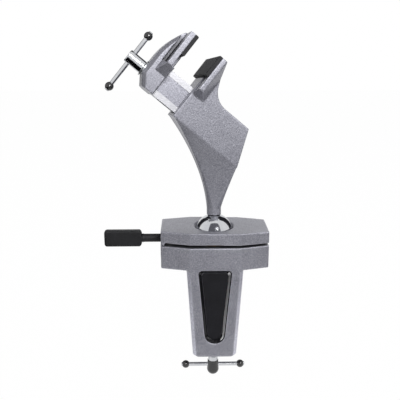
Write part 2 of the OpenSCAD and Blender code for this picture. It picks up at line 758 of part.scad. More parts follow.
// Brass nut inside the slide's channel, its round foot set in the arm's floor
module spindle_nut() {
    low = slide_v + channel_floor + free_gap;
    high = slide_top_v - channel_roof - free_gap;
    foot_v = slide_v - slide_gap - nut_foot_in;
    color("goldenrod") in_jaw() difference() {
        union() {
            across(2 * (channel_half - free_gap)) uv_rect(nut_u, nut_u + nut_l, low, high);
            translate([nut_u + nut_l / 2, 0, foot_v]) cylinder(r = nut_foot_r, h = low - foot_v + weld);
        }
        u_rod(nut_u - cut, nut_u + nut_l + cut, spindle_r + run_gap);
    }
}

// Side view of the movable jaw's body: cut lower back corner, arc over the upper back
module jaw_outline() {
    arc_v = spindle_v + arc_rise;
    low_v = slide_v - rail_step;
    polygon([[shoulder_u, low_v], [jaw_back_u - corner_u, low_v], [jaw_back_u, low_v + corner_v],
             [jaw_back_u, arc_v], [moving_seat_u, arc_v], [moving_seat_u, arc_v + weld],
             [shoulder_u, arc_v + weld]]);
    intersection() {
        translate([jaw_back_u - jaw_arc_r, arc_v]) circle(r = jaw_arc_r);
        union() {
            uv_rect(moving_seat_u, jaw_back_u + cut, arc_v, tip_v);
            uv_rect(shoulder_u, jaw_back_u, arc_v, pad_v - pad_ledge);
        }
    }
}
// Prism in u and w that narrows by the slope at both sides, its end face at zero and its length along v from zero
module side_slopes(length) {
    half = body_w / 2 + cut;
    in_u = jaw_slope_u * (jaw_slope_w + cut) / jaw_slope_w;
    linear_extrude(height = length)
        polygon([[-2 * jaw_arc_r, -half], [-in_u, -half], [0, jaw_slope_w + cut - half], [0, half - jaw_slope_w - cut],
                 [-in_u, half], [-2 * jaw_arc_r, half]]);
}
// Cylinder and two cones across the jaw that cut the same slope along the arc
module arc_slopes() {
    in_u = jaw_slope_u * (jaw_slope_w + cut) / jaw_slope_w;
    rotate([90, 0, 0]) {
        cylinder(r = jaw_arc_r, h = body_w - 2 * jaw_slope_w, center = true);
        for (side = [0, 180]) rotate([side, 0, 0]) translate([0, 0, body_w / 2 - jaw_slope_w - fit_gap])
            cylinder(r1 = jaw_arc_r, r2 = jaw_arc_r - in_u, h = jaw_slope_w + cut);
    }
}
// Room inside which the movable jaw's body keeps: sloped along its arc, its back and its cut lower corner
module jaw_room() {
    arc_v = spindle_v + arc_rise;
    low_v = slide_v - rail_step;
    corner_lean = atan(corner_u / corner_v);
    intersection() {
        union() {
            translate([jaw_back_u - jaw_arc_r, 0, arc_v]) arc_slopes();
            translate([0, -jaw_w, 0]) cube([2 * jaw_back_u, 2 * jaw_w, arc_v]);
        }
        translate([jaw_back_u, 0, 0]) side_slopes(2 * tip_v);
        translate([jaw_back_u - corner_u, 0, low_v]) rotate([0, corner_lean, 0])
            translate([0, 0, -jaw_w]) side_slopes(2 * tip_v);
    }
}
module moving_plate() {
    half = jaw_w / 2;
    root = web_t / 2;
    rise = moving_gusset_v * (half - root) / (half - body_w / 2);
    plate_back = moving_seat_u + plate_u;
    along_u(moving_seat_u, plate_back) for (side = [-1, 1])
        polygon([[side * half, plate_v], [side * half, tip_v], [side * root, tip_v], [side * root, plate_v - rise]]);
    intersection() {
        along_u(shoulder_u, plate_back + rib_slot) for (side = [-1, 1])
            polygon([[side * half, plate_v], [side * root, plate_v], [side * root, plate_v - rise]]);
        linear_extrude(height = 2 * tip_v)
            polygon([[shoulder_u - cut, -half], [plate_back, -half], [plate_back + rib_slot, -body_w / 2],
                     [plate_back + rib_slot, body_w / 2], [plate_back, half], [shoulder_u - cut, half]]);
    }
}
module jaw_slide() {
    difference() {
        across(slide_w) uv_rect(slide_end_u, shoulder_u + weld, slide_v, slide_top_v);
        for (side = [-1, 1]) translate([0, side * slide_w, 0])
            across(slide_w + 2 * rail_step) uv_rect(slide_end_u - cut, shoulder_u, slide_v + rail_h, slide_top_v - rail_h);
    }
}
module movable_jaw() {
    slot_u = moving_seat_u + plate_u;
    color(paint) in_jaw() difference() {
        union() {
            difference() {
                intersection() {
                    across(body_w) jaw_outline();
                    jaw_room();
                }
                for (side = [-1, 1]) translate([0, side * (web_t + jaw_w) / 2, 0])
                    across(jaw_w) uv_rect(slot_u, slot_u + rib_slot, plate_v - weld, tip_v + cut);
            }
            moving_plate();
            jaw_slide();
        }
        across(2 * channel_half)
            uv_rect(slide_end_u - cut, channel_u, slide_v + channel_floor, slide_top_v - channel_roof);
        across(2 * (nut_foot_r + free_gap))
            uv_rect(slide_end_u - cut, channel_u - channel_wall / 2, slide_v - cut, slide_v + channel_floor + cut);
        u_rod(channel_u - cut, jaw_back_u + cut, spindle_r + run_gap);
        peg_holes(moving_seat_u);
    }
}
module thrust_washer() {
    color("silver") in_jaw() difference() {
        u_rod(jaw_back_u, jaw_back_u + thrust_t, thrust_r);
        u_rod(jaw_back_u - cut, jaw_back_u + thrust_t + cut, spindle_r + run_gap);
    }
}
module spindle() {
    ring_u = channel_u - run_gap - ring_t;
    edge = spindle_head_r / 8;
    color("gainsboro") in_jaw() difference() {
        translate([0, 0, spindle_v]) rotate([0, 90, 0]) rotate_extrude()
            polygon([[0, slide_end_u], [spindle_r, slide_end_u], [spindle_r, head_u], [spindle_head_r, head_u],
                     [spindle_head_r, spindle_end_u - edge], [spindle_head_r - edge, spindle_end_u],
                     [0, spindle_end_u]]);
        translate([bar_u, 0, spindle_v - slide_h]) cylinder(r = bar_r + run_gap, h = 2 * slide_h);
        difference() {
            u_rod(ring_u, ring_u + ring_t, spindle_r + cut);
            u_rod(ring_u - cut, ring_u + ring_t + cut, spindle_r - ring_groove);
        }
    }
}
module retaining_ring() {
    ring_u = channel_u - run_gap - ring_t;
    color("dimgray") in_jaw() difference() {
        u_rod(ring_u + fit_gap, ring_u + ring_t - fit_gap, channel_half - free_gap);
        u_rod(ring_u - cut, ring_u + ring_t + cut, spindle_r - ring_groove + fit_gap);
    }
}
// A tommy bar along Z, centred, and its two knobs
module bar_rod() {
    cylinder(r = bar_r, h = bar_span + 2 * (knob_r + bar_nub), center = true);
}
module bar_knobs() {
    for (side = [-1, 1]) translate([0, 0, side * bar_span / 2]) difference() {
        sphere(r = knob_r);
        cylinder(r = bar_r + fit_gap, h = 2 * knob_r + 2 * cut, center = true);
    }
}
module tommy_bar() {
    color("gainsboro") in_jaw() translate([bar_u, 0, spindle_v - bar_offset]) bar_rod();
}
module tommy_bar_knobs() {
    color("black") in_jaw() translate([bar_u, 0, spindle_v - bar_offset]) bar_knobs();
}

// Clamp screw from below: pressure foot on its ball end, cross-drilled head at its lower end
foot_top_z = -table_gap - foot_pad_t;
foot_low_z = foot_top_z - foot_flange_t - foot_hub_h;
// Depth of the screw's ball end above the hub's lower face
ball_in = 3.4;
screw_ball_z = foot_low_z + ball_in;
screw_thread_top = foot_low_z - screw_ball_r / 2;
screw_head_z = arm_low_z - screw_out;
clamp_bar_z = screw_head_z - screw_bar_drop;
module on_screw() {
    translate([0, screw_y, 0]) children();
}
module clamp_foot() {
    color("silver") on_screw() difference() {
        union() {
            translate([0, 0, foot_low_z]) cylinder(r = foot_hub_r, h = foot_hub_h + weld);
            translate([0, 0, foot_top_z - foot_flange_t]) cylinder(r = foot_r, h = foot_flange_t);
        }
        translate([0, 0, screw_ball_z]) sphere(r = screw_ball_r + run_gap);
        translate([0, 0, foot_low_z - cut]) cylinder(r = screw_neck_r + free_gap, h = ball_in + cut);
    }
}
module foot_pad() {
    color([0.12, 0.12, 0.13]) on_screw() translate([0, 0, foot_top_z]) cylinder(r = foot_r, h = foot_pad_t);
}
module clamp_screw() {
    color("gainsboro") on_screw() difference() {
        union() {
            translate([0, 0, screw_head_z]) cylinder(r = screw_r, h = screw_thread_top - screw_head_z);
            translate([0, 0, screw_head_z - screw_collar_l])
                cylinder(r = screw_collar_r, h = screw_collar_l);
            translate([0, 0, screw_head_z - screw_head_l + screw_neck_r])
                cylinder(r = screw_neck_r, h = screw_head_l);
            translate([0, 0, screw_thread_top - weld]) cylinder(r = screw_neck_r, h = screw_ball_z - screw_thread_top);
            translate([0, 0, screw_ball_z]) sphere(r = screw_ball_r);
        }
        translate([0, 0, clamp_bar_z]) rotate([0, 90, 0]) cylinder(r = bar_r + run_gap, h = bar_span, center = true);
    }
}
// Black lower half of the head on the screw's spigot: a slight barrel with a round end
module clamp_screw_head() {
    low_z = screw_head_z - screw_head_l;
    high_z = screw_head_z - screw_collar_l;
    round_z = low_z + screw_head_r;
    color([0.25, 0.25, 0.27]) on_screw() difference() {
        union() {
            translate([0, 0, round_z]) sphere(r = screw_head_r);
            translate([0, 0, round_z]) cylinder(r1 = screw_head_r - fit_gap, r2 = screw_waist_r, h = high_z - round_z);
        }
        translate([0, 0, low_z + screw_neck_r - fit_gap]) cylinder(r = screw_neck_r + fit_gap, h = screw_head_l);
        translate([0, 0, clamp_bar_z]) rotate([0, 90, 0]) cylinder(r = bar_r + run_gap, h = bar_span, center = true);
    }
}
module clamp_bar() {
    color("gainsboro") on_screw() translate([0, 0, clamp_bar_z]) rotate([0, 90, 0]) bar_rod();
}
module clamp_bar_knobs() {
    color("black") on_screw() translate([0, 0, clamp_bar_z]) rotate([0, 90, 0]) bar_knobs();
}

clamp_frame();
socket_cap();
cap_screws();
bolt_washer();
plate_bezel();
name_plate();
clamp_bolt();
lever_hub();
hub_grub_screw();
lever_rod();
lever_grip();
ball_cup();
ball_stud();
vise_arm();
fixed_jaw_pad();
spindle_nut();
movable_jaw();
movable_jaw_pad();
thrust_washer();
spindle();
retaining_ring();
tommy_bar();
tommy_bar_knobs();
clamp_foot();
foot_pad();
clamp_screw();
clamp_screw_head();
clamp_bar();
clamp_bar_knobs();
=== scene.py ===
import json
import math

import bmesh
import bpy
import numpy as np
from mathutils import Matrix, Vector


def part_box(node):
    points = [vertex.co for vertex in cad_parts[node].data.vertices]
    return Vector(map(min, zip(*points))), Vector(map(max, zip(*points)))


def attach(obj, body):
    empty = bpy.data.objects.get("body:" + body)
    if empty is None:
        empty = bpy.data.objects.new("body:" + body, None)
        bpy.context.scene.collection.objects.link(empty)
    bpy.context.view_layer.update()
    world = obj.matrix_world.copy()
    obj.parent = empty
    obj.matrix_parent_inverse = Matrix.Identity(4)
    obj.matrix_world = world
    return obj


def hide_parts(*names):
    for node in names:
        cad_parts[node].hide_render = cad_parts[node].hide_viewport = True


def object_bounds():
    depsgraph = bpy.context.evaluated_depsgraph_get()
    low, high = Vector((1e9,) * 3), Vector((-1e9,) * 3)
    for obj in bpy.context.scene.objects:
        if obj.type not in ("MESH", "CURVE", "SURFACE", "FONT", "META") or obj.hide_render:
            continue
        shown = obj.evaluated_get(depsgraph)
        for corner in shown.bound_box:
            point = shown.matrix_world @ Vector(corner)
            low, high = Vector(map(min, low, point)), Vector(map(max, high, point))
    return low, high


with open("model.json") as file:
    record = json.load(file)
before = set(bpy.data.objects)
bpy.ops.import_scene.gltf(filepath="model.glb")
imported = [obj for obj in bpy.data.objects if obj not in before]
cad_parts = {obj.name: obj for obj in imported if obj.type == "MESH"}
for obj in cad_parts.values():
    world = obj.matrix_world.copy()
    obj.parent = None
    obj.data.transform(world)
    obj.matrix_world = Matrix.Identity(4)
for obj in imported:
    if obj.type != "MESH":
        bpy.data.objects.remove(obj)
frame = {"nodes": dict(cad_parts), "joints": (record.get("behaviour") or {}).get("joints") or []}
joints = {joint["name"]: joint for joint in frame["joints"]}
cad_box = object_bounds()
mm = 0.001
bpy.context.scene.view_settings.view_transform = "Standard"

# Camera, fitted to the block's corners and the jaws in the photograph.
# A 54 mm lens looks 15 degrees down at a vise about half a metre away.
camera = bpy.data.objects.new("camera", bpy.data.cameras.new("camera"))
camera.data.lens = 54.0
camera.data.sensor_width = 36.0
camera.location = (-0.02205, -0.4585, 0.1737)
camera.rotation_euler = (math.radians(75.0), 0.0, math.radians(-1.34))
bpy.context.collection.objects.link(camera)
bpy.context.scene.camera = camera


# Studio: a dim room, a softbox in front and above at the head's height, a wide one overhead and a weak one
# on the left. Camera, mirror and see-through rays get white from the room and the floor, so chrome shows a
# white room.
def linear(hex_colour):
    """The linear RGBA of an sRGB hex colour."""
    s = np.array([int(hex_colour[i:i + 2], 16) for i in (1, 3, 5)]) / 255.0
    rgb = np.where(s <= 0.04045, s / 12.92, ((s + 0.055) / 1.055) ** 2.4)
    return (*rgb.tolist(), 1.0)


def add(tree, kind, settings=None, links=None):
    """Adds a node. Settings are ramp stops, socket values by name or number, or attributes, and links are
    given as socket: output."""
    node = tree.nodes.new(kind)
    for name, value in (settings or {}).items():
        if name == "stops":
            for place, _ in value[1:-1]:
                node.color_ramp.elements.new(place)
            for stop, (place, colour) in zip(node.color_ramp.elements, value):
                stop.position = place
                stop.color = linear(colour)
        elif isinstance(name, int) or name in node.inputs:
            node.inputs[name].default_value = value
        else:
            setattr(node, name, value)
    for name, source in (links or {}).items():
        tree.links.new(source, node.inputs[name])
    return node


def looking_rays(tree):
    """An output that is 1 for camera, mirror and see-through rays, and 0 for the rest."""
    rays = add(tree, "ShaderNodeLightPath").outputs
    seen = add(tree, "ShaderNodeMath", {"operation": "MAXIMUM"},
               {0: rays["Is Camera Ray"], 1: rays["Is Glossy Ray"]})
    seen = add(tree, "ShaderNodeMath", {"operation": "MAXIMUM"},
               {0: seen.outputs[0], 1: rays["Is Transmission Ray"]})
    return seen.outputs[0]


world = bpy.data.worlds.new("studio")
world.use_nodes = True
bpy.context.scene.world = world
room = world.node_tree
room.nodes.clear()
seen = looking_rays(room)
fill = add(room, "ShaderNodeBackground", {"Color": linear("#e9ebf0"), "Strength": 0.15})
bright = add(room, "ShaderNodeBackground", {"Color": (1.0, 1.0, 1.0, 1.0), "Strength": 1.0})
either = add(room, "ShaderNodeMixShader", None, {0: seen, 1: fill.outputs[0], 2: bright.outputs[0]})
add(room, "ShaderNodeOutputWorld", None, {"Surface": either.outputs[0]})


def lamp(name, place, aim, size, watts):
    """A square area lamp at a place, turned to face the aim point."""
    data = bpy.data.lights.new(name, "AREA")
    data.shape = "SQUARE"
    data.size = size
    data.energy = watts
    thing = bpy.data.objects.new(name, data)
    thing.location = place
    thing.rotation_euler = (Vector(aim) - Vector(place)).to_track_quat("-Z", "Y").to_euler()
    bpy.context.collection.objects.link(thing)
    return thing


lamp("softbox_key", (0.3, -0.85, 0.62), aim=(0.0, 0.0, 0.12), size=0.3, watts=8.4)
top_lamp = lamp("softbox_top", (0.1, 0.35, 0.9), aim=(0.0, 0.0, 0.05), size=0.7, watts=7.0)
left_lamp = lamp("softbox_left", (-0.80, -0.30, 0.35), aim=(0.0, 0.0, 0.05), size=0.4, watts=0.6)
top_lamp.visible_glossy = left_lamp.visible_glossy = False

floor_gap, floor_half = 0.0002, 3
floor_z = cad_box[0][2] - floor_gap
floor_mesh = bpy.data.meshes.new("floor")
square = ((-1, -1), (1, -1), (1, 1), (-1, 1))
floor_mesh.from_pydata([(x * floor_half, y * floor_half, floor_z) for x, y in square], [], [(0, 1, 2, 3)])
floor = bpy.data.objects.new("floor", floor_mesh)
bpy.context.collection.objects.link(floor)
card = bpy.data.materials.new("white studio card")
card.use_nodes = True
paper = card.node_tree
paper.nodes.clear()
matt = add(paper, "ShaderNodeBsdfDiffuse", {"Color": linear("#e4e4e4")})
glow = add(paper, "ShaderNodeEmission", {"Color": (1.0, 1.0, 1.0, 1.0), "Strength": 1.0})
seen = looking_rays(paper)
cover = add(paper, "ShaderNodeMixShader", {0: 0.99}, {1: matt.outputs[0], 2: glow.outputs[0]})
blank = add(paper, "ShaderNodeMixShader", None, {0: seen, 1: matt.outputs[0], 2: cover.outputs[0]})
add(paper, "ShaderNodeOutputMaterial", None, {"Surface": blank.outputs[0]})
floor_mesh.materials.append(card)


# Dark flags: cloth hung or laid around the object, which only mirror reflections see.
# They give the chrome its dark lines and keep the castings from mirroring the white room all round.
def flag(name, corners, grey):
    """A flat dark cloth through four corners, seen by glossy rays alone."""
    mesh = bpy.data.meshes.new(name)
    mesh.from_pydata(corners, [], [(0, 1, 2, 3)])
    cloth = bpy.data.materials.new(name + " cloth")
    cloth.use_nodes = True
    tree = cloth.node_tree
    tree.nodes.clear()
    dim = add(tree, "ShaderNodeEmission", {"Color": linear(grey), "Strength": 1.0})
    add(tree, "ShaderNodeOutputMaterial", None, {"Surface": dim.outputs[0]})
    mesh.materials.append(cloth)
    thing = bpy.data.objects.new(name, mesh)
    bpy.context.collection.objects.link(thing)
    thing.visible_camera = thing.visible_diffuse = thing.visible_transmission = thing.visible_shadow = False


low = floor_z + 0.001
flag("flag_lens", [(-0.11, -0.14, 0.04), (0.11, -0.14, 0.04), (0.045, -0.05, 0.15), (-0.045, -0.05, 0.15)],
     "#6e6e74")
flag("flag_table", [(-0.06, -0.5, low), (0.06, -0.5, low), (0.06, -0.09, low), (-0.06, -0.09, low)],
     "#7a7a80")
# The block's side faces mirror the floor in front of it on the left and the right, so dark cloths lie there
flag("flag_floor_left", [(-0.9, -0.9, low), (-0.16, -0.9, low), (-0.16, 0.1, low), (-0.9, 0.3, low)],
     "#0c0c0e")
flag("flag_floor_right", [(0.16, -0.9, low), (0.9, -0.9, low), (0.9, 0.3, low), (0.16, 0.1, low)], "#1c1c20")
flag("flag_left", [(-0.8, 0.3, low), (-0.55, 1.0, low), (-0.45, 0.8, 1.2), (-0.6, 0.3, 1.2)], "#2c2c30")
flag("flag_right", [(0.8, 0.3, low), (0.55, 1.0, low), (0.45, 0.8, 1.3), (0.6, 0.2, 1.3)], "#2c2c30")
flag("flag_back", [(-0.6, 1.0, 0.75), (0.6, 1.0, 0.75), (0.5, 0.4, 1.3), (-0.5, 0.4, 1.3)], "#2c2c30")


# Table clamp: block, column and lower arm in one zinc die casting, its edges rounded by the die.
# The paint is hammer-effect lacquer in dark silver: metal flake under a fine, slightly lumpy clear film,
# which gives the eye a pale speckle and a soft, broken shine.
def finish(name, **values):
    """A named material: one Principled shader with these socket values, linked to the output. Gives the
    material, its tree and the shader."""
    material = bpy.data.materials.new(name)
    material.use_nodes = True
    tree = material.node_tree
    tree.nodes.clear()
    sockets = {key.replace("_", " "): value for key, value in values.items()}
    shader = add(tree, "ShaderNodeBsdfPrincipled", sockets)
    add(tree, "ShaderNodeOutputMaterial", None, {"Surface": shader.outputs[0]})
    return material, tree, shader


all_smooth, large_faces_lead = 180.0, 100


def show(name, mesh, material, body, replaced=(), smooth_angle=36.0):
    """Links a finished mesh as a piece, with its material, the body it moves with and the CAD nodes it
    stands for."""
    piece = bpy.data.objects.new(name, mesh)
    bpy.context.collection.objects.link(piece)
    for one in material if isinstance(material, list) else [material]:
        mesh.materials.append(one)
    mesh.shade_smooth()
    mesh.set_sharp_from_angle(angle=math.radians(smooth_angle))
    flats = piece.modifiers.new("flats stay flat", "WEIGHTED_NORMAL")
    flats.keep_sharp = True
    flats.weight = large_faces_lead
    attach(piece, body)
    if replaced:
        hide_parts(*replaced)
    return piece


same_place, flat_angle = 2e-6, 0.8


def own_shading(mesh):
    """The mesh without the shading normals of the CAD file, which don't fit it once it is changed."""
    if "custom_normal" in mesh.attributes:
        mesh.attributes.remove(mesh.attributes["custom_normal"])
    return mesh


def half_of(node, place, facing):
    """The part of a CAD node's mesh on the far side of a plane, closed where the plane cuts it."""
    mesh = frame["nodes"][node].data.copy()
    work = bmesh.new()
    work.from_mesh(mesh)
    bmesh.ops.remove_doubles(work, verts=work.verts, dist=same_place)
    bmesh.ops.bisect_plane(work, geom=work.verts[:] + work.edges[:] + work.faces[:], dist=1e-7,
                           plane_co=place, plane_no=facing, clear_inner=True)
    bmesh.ops.holes_fill(work, edges=[e for e in work.edges if e.is_boundary], sides=0)
    work.to_mesh(mesh)
    work.free()
    return own_shading(mesh)


def cast_copy(mesh, size, rounds, axes=None):
    """A mesh as the die leaves it: its surface laid again in squares of a size in millimetres along these
    axes, and evened out a number of rounds, which rounds every edge and fills every corner a little. Flats
    stay flat."""
    turn = Matrix.Identity(4) if axes is None else Matrix(axes.tolist()).to_4x4()
    mesh.transform(turn)
    blank = bpy.data.objects.new("blank", mesh)
    bpy.context.collection.objects.link(blank)
    squares = blank.modifiers.new("squares", "REMESH")
    squares.mode = "VOXEL"
    squares.voxel_size = size * mm
    even = blank.modifiers.new("even", "SMOOTH")
    even.iterations = rounds
    bpy.context.view_layer.update()
    made = bpy.data.meshes.new_from_object(blank.evaluated_get(bpy.context.evaluated_depsgraph_get()))
    made.transform(turn.inverted())
    made.materials.clear()
    bpy.data.objects.remove(blank)
    return made


def eased_copy(node, radius, steps=3, angle=28.0):
    """A CAD node's mesh with doubles merged, flats made whole and sharp edges rounded to a radius in
    millimetres."""
    mesh = frame["nodes"][node].data.copy()
    mesh.materials.clear()
    work = bmesh.new()
    work.from_mesh(mesh)
    bmesh.ops.remove_doubles(work, verts=work.verts, dist=same_place)
    bmesh.ops.dissolve_limit(work, angle_limit=math.radians(flat_angle), verts=work.verts, edges=work.edges)
    sharp = [e for e in work.edges if e.is_manifold and e.calc_face_angle(0.0) > math.radians(angle)]
    bmesh.ops.bevel(work, geom=sharp, offset=radius * mm, offset_type="OFFSET", segments=steps, profile=0.5,
                    affect="EDGES", clamp_overlap=False, miter_outer="ARC", miter_inner="SHARP")
    work.normal_update()
    work.to_mesh(mesh)
    work.free()
    return own_shading(mesh)


hammer_paint, tree, shader = finish("hammer effect lacquer, dark silver", Metallic=0.55, Coat_Weight=0.3,
                                    Coat_Roughness=0.3)
place = add(tree, "ShaderNodeTexCoord").outputs["Object"]
# Flake clusters 0.7 mm across: real flake is finer, and is drawn as coarse as it needs to show
flake = add(tree, "ShaderNodeTexNoise", {"Scale": 1500.0, "Detail": 2.0, "Roughness": 0.6}, {"Vector": place})
# Film thickness that changes over about 20 mm
cloud = add(tree, "ShaderNodeTexNoise", {"Scale": 50.0, "Detail": 2.0}, {"Vector": place})
tone = add(tree, "ShaderNodeMix", {"data_type": "FLOAT", 0: 0.15}, {2: flake.outputs[0], 3: cloud.outputs[0]})
speckle = add(tree, "ShaderNodeValToRGB",
              {"stops": [(0.34, "#787881"), (0.5, "#94949d"), (0.66, "#b1b1ba")]}, {"Fac": tone.outputs[0]})
# Painted shade: deep pockets are darker, down to a quarter of the tone, by how little of the surroundings
# they see
reach = add(tree, "ShaderNodeAmbientOcclusion", {"Distance": 0.007, "samples": 16})
painted_pocket_shade = add(tree, "ShaderNodeMapRange", {"From Min": 0.2, "From Max": 0.62, "To Min": 0.25, "To Max": 1.0},
           {"Value": reach.outputs["AO"]})
# Painted light and shade: edges are lighter, up to 1.3 times the tone, and inner corners darker, down to 0.62
# times, by how sharply the surface bends
edge = add(tree, "ShaderNodeNewGeometry").outputs["Pointiness"]
painted_edge_light = add(tree, "ShaderNodeMapRange", {"From Min": 0.44, "From Max": 0.58, "To Min": 0.62, "To Max": 1.3},
             {"Value": edge})
painted_light_and_shade = add(tree, "ShaderNodeMath", {"operation": "MULTIPLY"}, {0: painted_pocket_shade.outputs[0], 1: painted_edge_light.outputs[0]})
# The photograph shows a light band on each of the column's long bevels, and whether it is wear or a
# reflection can't be told. Faces turned half aside and half forward, below the block's underside at height
# zero, get a painted highlight for it, up to twice the tone.
turned_face = add(tree, "ShaderNodeSeparateXYZ", None,
                  {"Vector": add(tree, "ShaderNodeTexCoord").outputs["Normal"]})
aside = add(tree, "ShaderNodeMath", {"operation": "ABSOLUTE"}, {0: turned_face.outputs["X"]})
aside = add(tree, "ShaderNodeMapRange", {"From Min": 0.3, "From Max": 0.72}, {"Value": aside.outputs[0]})
ahead = add(tree, "ShaderNodeMapRange", {"From Min": -0.2, "From Max": -0.45},
            {"Value": turned_face.outputs["Y"]})
height = add(tree, "ShaderNodeSeparateXYZ", None, {"Vector": place})
below = add(tree, "ShaderNodeMapRange", {"From Min": -0.0005, "From Max": -0.0015},
            {"Value": height.outputs["Z"]})
bevel = add(tree, "ShaderNodeMath", {"operation": "MULTIPLY"}, {0: aside.outputs[0], 1: ahead.outputs[0]})
bevel = add(tree, "ShaderNodeMath", {"operation": "MULTIPLY"}, {0: bevel.outputs[0], 1: below.outputs[0]})
painted_bevel_highlight = add(tree, "ShaderNodeMapRange", {"To Min": 1.0, "To Max": 2.0}, {"Value": bevel.outputs[0]})
painted_light_and_shade = add(tree, "ShaderNodeMath", {"operation": "MULTIPLY"}, {0: painted_light_and_shade.outputs[0], 1: painted_bevel_highlight.outputs[0]})
shade = add(tree, "ShaderNodeVectorMath", {"operation": "SCALE"},
            {0: speckle.outputs["Color"], "Scale": painted_light_and_shade.outputs[0]})
tree.links.new(shade.outputs[0], shader.inputs["Base Color"])
shine = add(tree, "ShaderNodeMapRange", {"To Min": 0.36, "To Max": 0.58}, {"Value": flake.outputs[0]})
tree.links.new(shine.outputs[0], shader.inputs["Roughness"])
# Lumps of the film, 1.1 mm across and 0.03 mm high
lumps = add(tree, "ShaderNodeTexNoise", {"Scale": 900.0, "Detail": 2.0}, {"Vector": place})
relief = add(tree, "ShaderNodeBump", {"Strength": 0.35, "Distance": 0.0003}, {"Height": lumps.outputs[0]})
tree.links.new(relief.outputs[0], shader.inputs["Normal"])

show("clamp_casting", cast_copy(frame["nodes"]["clamp_frame"].data.copy(), size=0.55, rounds=4),
     hammer_paint, "table_clamp", ["clamp_frame"], all_smooth)

# Socket cap: the upper half of the split block, the same casting metal and lacquer.
# Its countersunk rim and spherical seat hold the ball. The lever pulls it down.
show("cap_casting", cast_copy(frame["nodes"]["socket_cap"].data.copy(), size=0.5, rounds=4), hammer_paint,
     "table_clamp", ["socket_cap"], all_smooth)


def skin_mesh(name, points):
    """A closed quad surface through a grid of points: each row is a ring, and the first and last shrink to
    a pole."""
    rows, columns = points.shape[:2]
    index = np.arange(rows * columns).reshape(rows, columns)
    beside = np.roll(index, -1, axis=1)
    quads = np.stack([index[:-1], beside[:-1], beside[1:], index[1:]], axis=-1).reshape(-1, 4)
    mesh = bpy.data.meshes.new(name)
    mesh.from_pydata(points.reshape(-1, 3).tolist(), [], quads.tolist())
    work = bmesh.new()
    work.from_mesh(mesh)
    bmesh.ops.remove_doubles(work, verts=work.verts, dist=1e-7)
    bmesh.ops.recalc_face_normals(work, faces=work.faces)
    work.to_mesh(mesh)
    work.free()
    return mesh


# Name plate: a blank black panel at the bottom of a dished frame let into the column.
# Both are moulded in gloss black ABS, which gives dark, sharp reflections with a faint waviness.
gloss_black, tree, shader = finish("gloss black ABS, moulded", Roughness=0.1, Coat_Weight=0.4,
                                   Coat_Roughness=0.04)
place = add(tree, "ShaderNodeTexCoord").outputs["Object"]
haze = add(tree, "ShaderNodeTexNoise", {"Scale": 90.0, "Detail": 3.0}, {"Vector": place})
ink = add(tree, "ShaderNodeValToRGB", {"stops": [(0.3, "#131315"), (0.7, "#1c1c1f")]},
          {"Fac": haze.outputs[0]})
tree.links.new(ink.outputs["Color"], shader.inputs["Base Color"])
wave = add(tree, "ShaderNodeTexNoise", {"Scale": 140.0, "Detail": 1.0}, {"Vector": place})
relief = add(tree, "ShaderNodeBump", {"Strength": 0.15, "Distance": 0.0002}, {"Height": wave.outputs[0]})
tree.links.new(relief.outputs[0], shader.inputs["Normal"])


def dress(material, *nodes):
    """Gives CAD nodes, whose shape is right as it is, this material in every slot."""
    for node in nodes:
        for slot in frame["nodes"][node].material_slots:
            slot.material = material


dress(gloss_black, "plate_bezel", "name_plate")

# Bright edge: a near-white band on the right wall of the dished frame, from the top corner down round the
# foot. It is a painted highlight: near-white metal on that one wall, with fine streaks along it. It is
# read as hot-stamped metal foil, which has fine streaks along it, and may be a reflection.
highlight_metal, tree, shader = finish("near-white metal, painted highlight", Metallic=1.0)
place = add(tree, "ShaderNodeTexCoord").outputs["Object"]
along = add(tree, "ShaderNodeMapping", {"Scale": (1.0, 1.0, 0.05)}, {"Vector": place})
streak = add(tree, "ShaderNodeTexNoise", {"Scale": 1600.0, "Detail": 3.0}, {"Vector": along.outputs[0]})
silver = add(tree, "ShaderNodeValToRGB", {"stops": [(0.3, "#ececee"), (0.7, "#fbfbfc")]},
             {"Fac": streak.outputs[0]})
tree.links.new(silver.outputs["Color"], shader.inputs["Base Color"])
shine = add(tree, "ShaderNodeMapRange", {"To Min": 0.3, "To Max": 0.45}, {"Value": streak.outputs[0]})
tree.links.new(shine.outputs[0], shader.inputs["Roughness"])
plate_half, plate_foot_r, plate_corner, plate_length, plate_top, front = 12.9, 8.1, 2.4, 53.9, 0.5, -23.5
corner_start, foot_end = math.pi / 3, -1.15


def outline(inset, count=160):
    """The right half of the name plate's outline, drawn smaller by an inset, as points (x, z) spaced by
    turn and length: a quarter circle at the top corner, a straight side, and a part of the foot's
    circle."""
    lean = math.atan((plate_half - plate_foot_r) / plate_length)
    corner = np.linspace(corner_start, -lean, count // 5)
    foot = np.linspace(-lean, foot_end, count // 3)
    top = np.stack([plate_half - inset - plate_corner + plate_corner * np.cos(corner),
                    -plate_top - inset - plate_corner + plate_corner * np.sin(corner)], axis=1)
    low = np.stack([(plate_foot_r - inset) * np.cos(foot),
                    -plate_top - plate_length + (plate_foot_r - inset) * np.sin(foot)], axis=1)
    side = np.linspace(0.0, 1.0, count // 2)[1:-1, None]
    return np.concatenate([top, top[-1] * (1 - side) + low[0] * side, low])


band_rim, band_base, band_front, wall_depth = 0.12, 2.3, 0.25, 2.6
start_taper, end_taper, foot_from, foot_over, foot_loss = 0.04, 0.16, 0.55, 0.3, 0.45
off_wall_x, off_wall_y, least_lift = 0.75, 0.65, 0.02


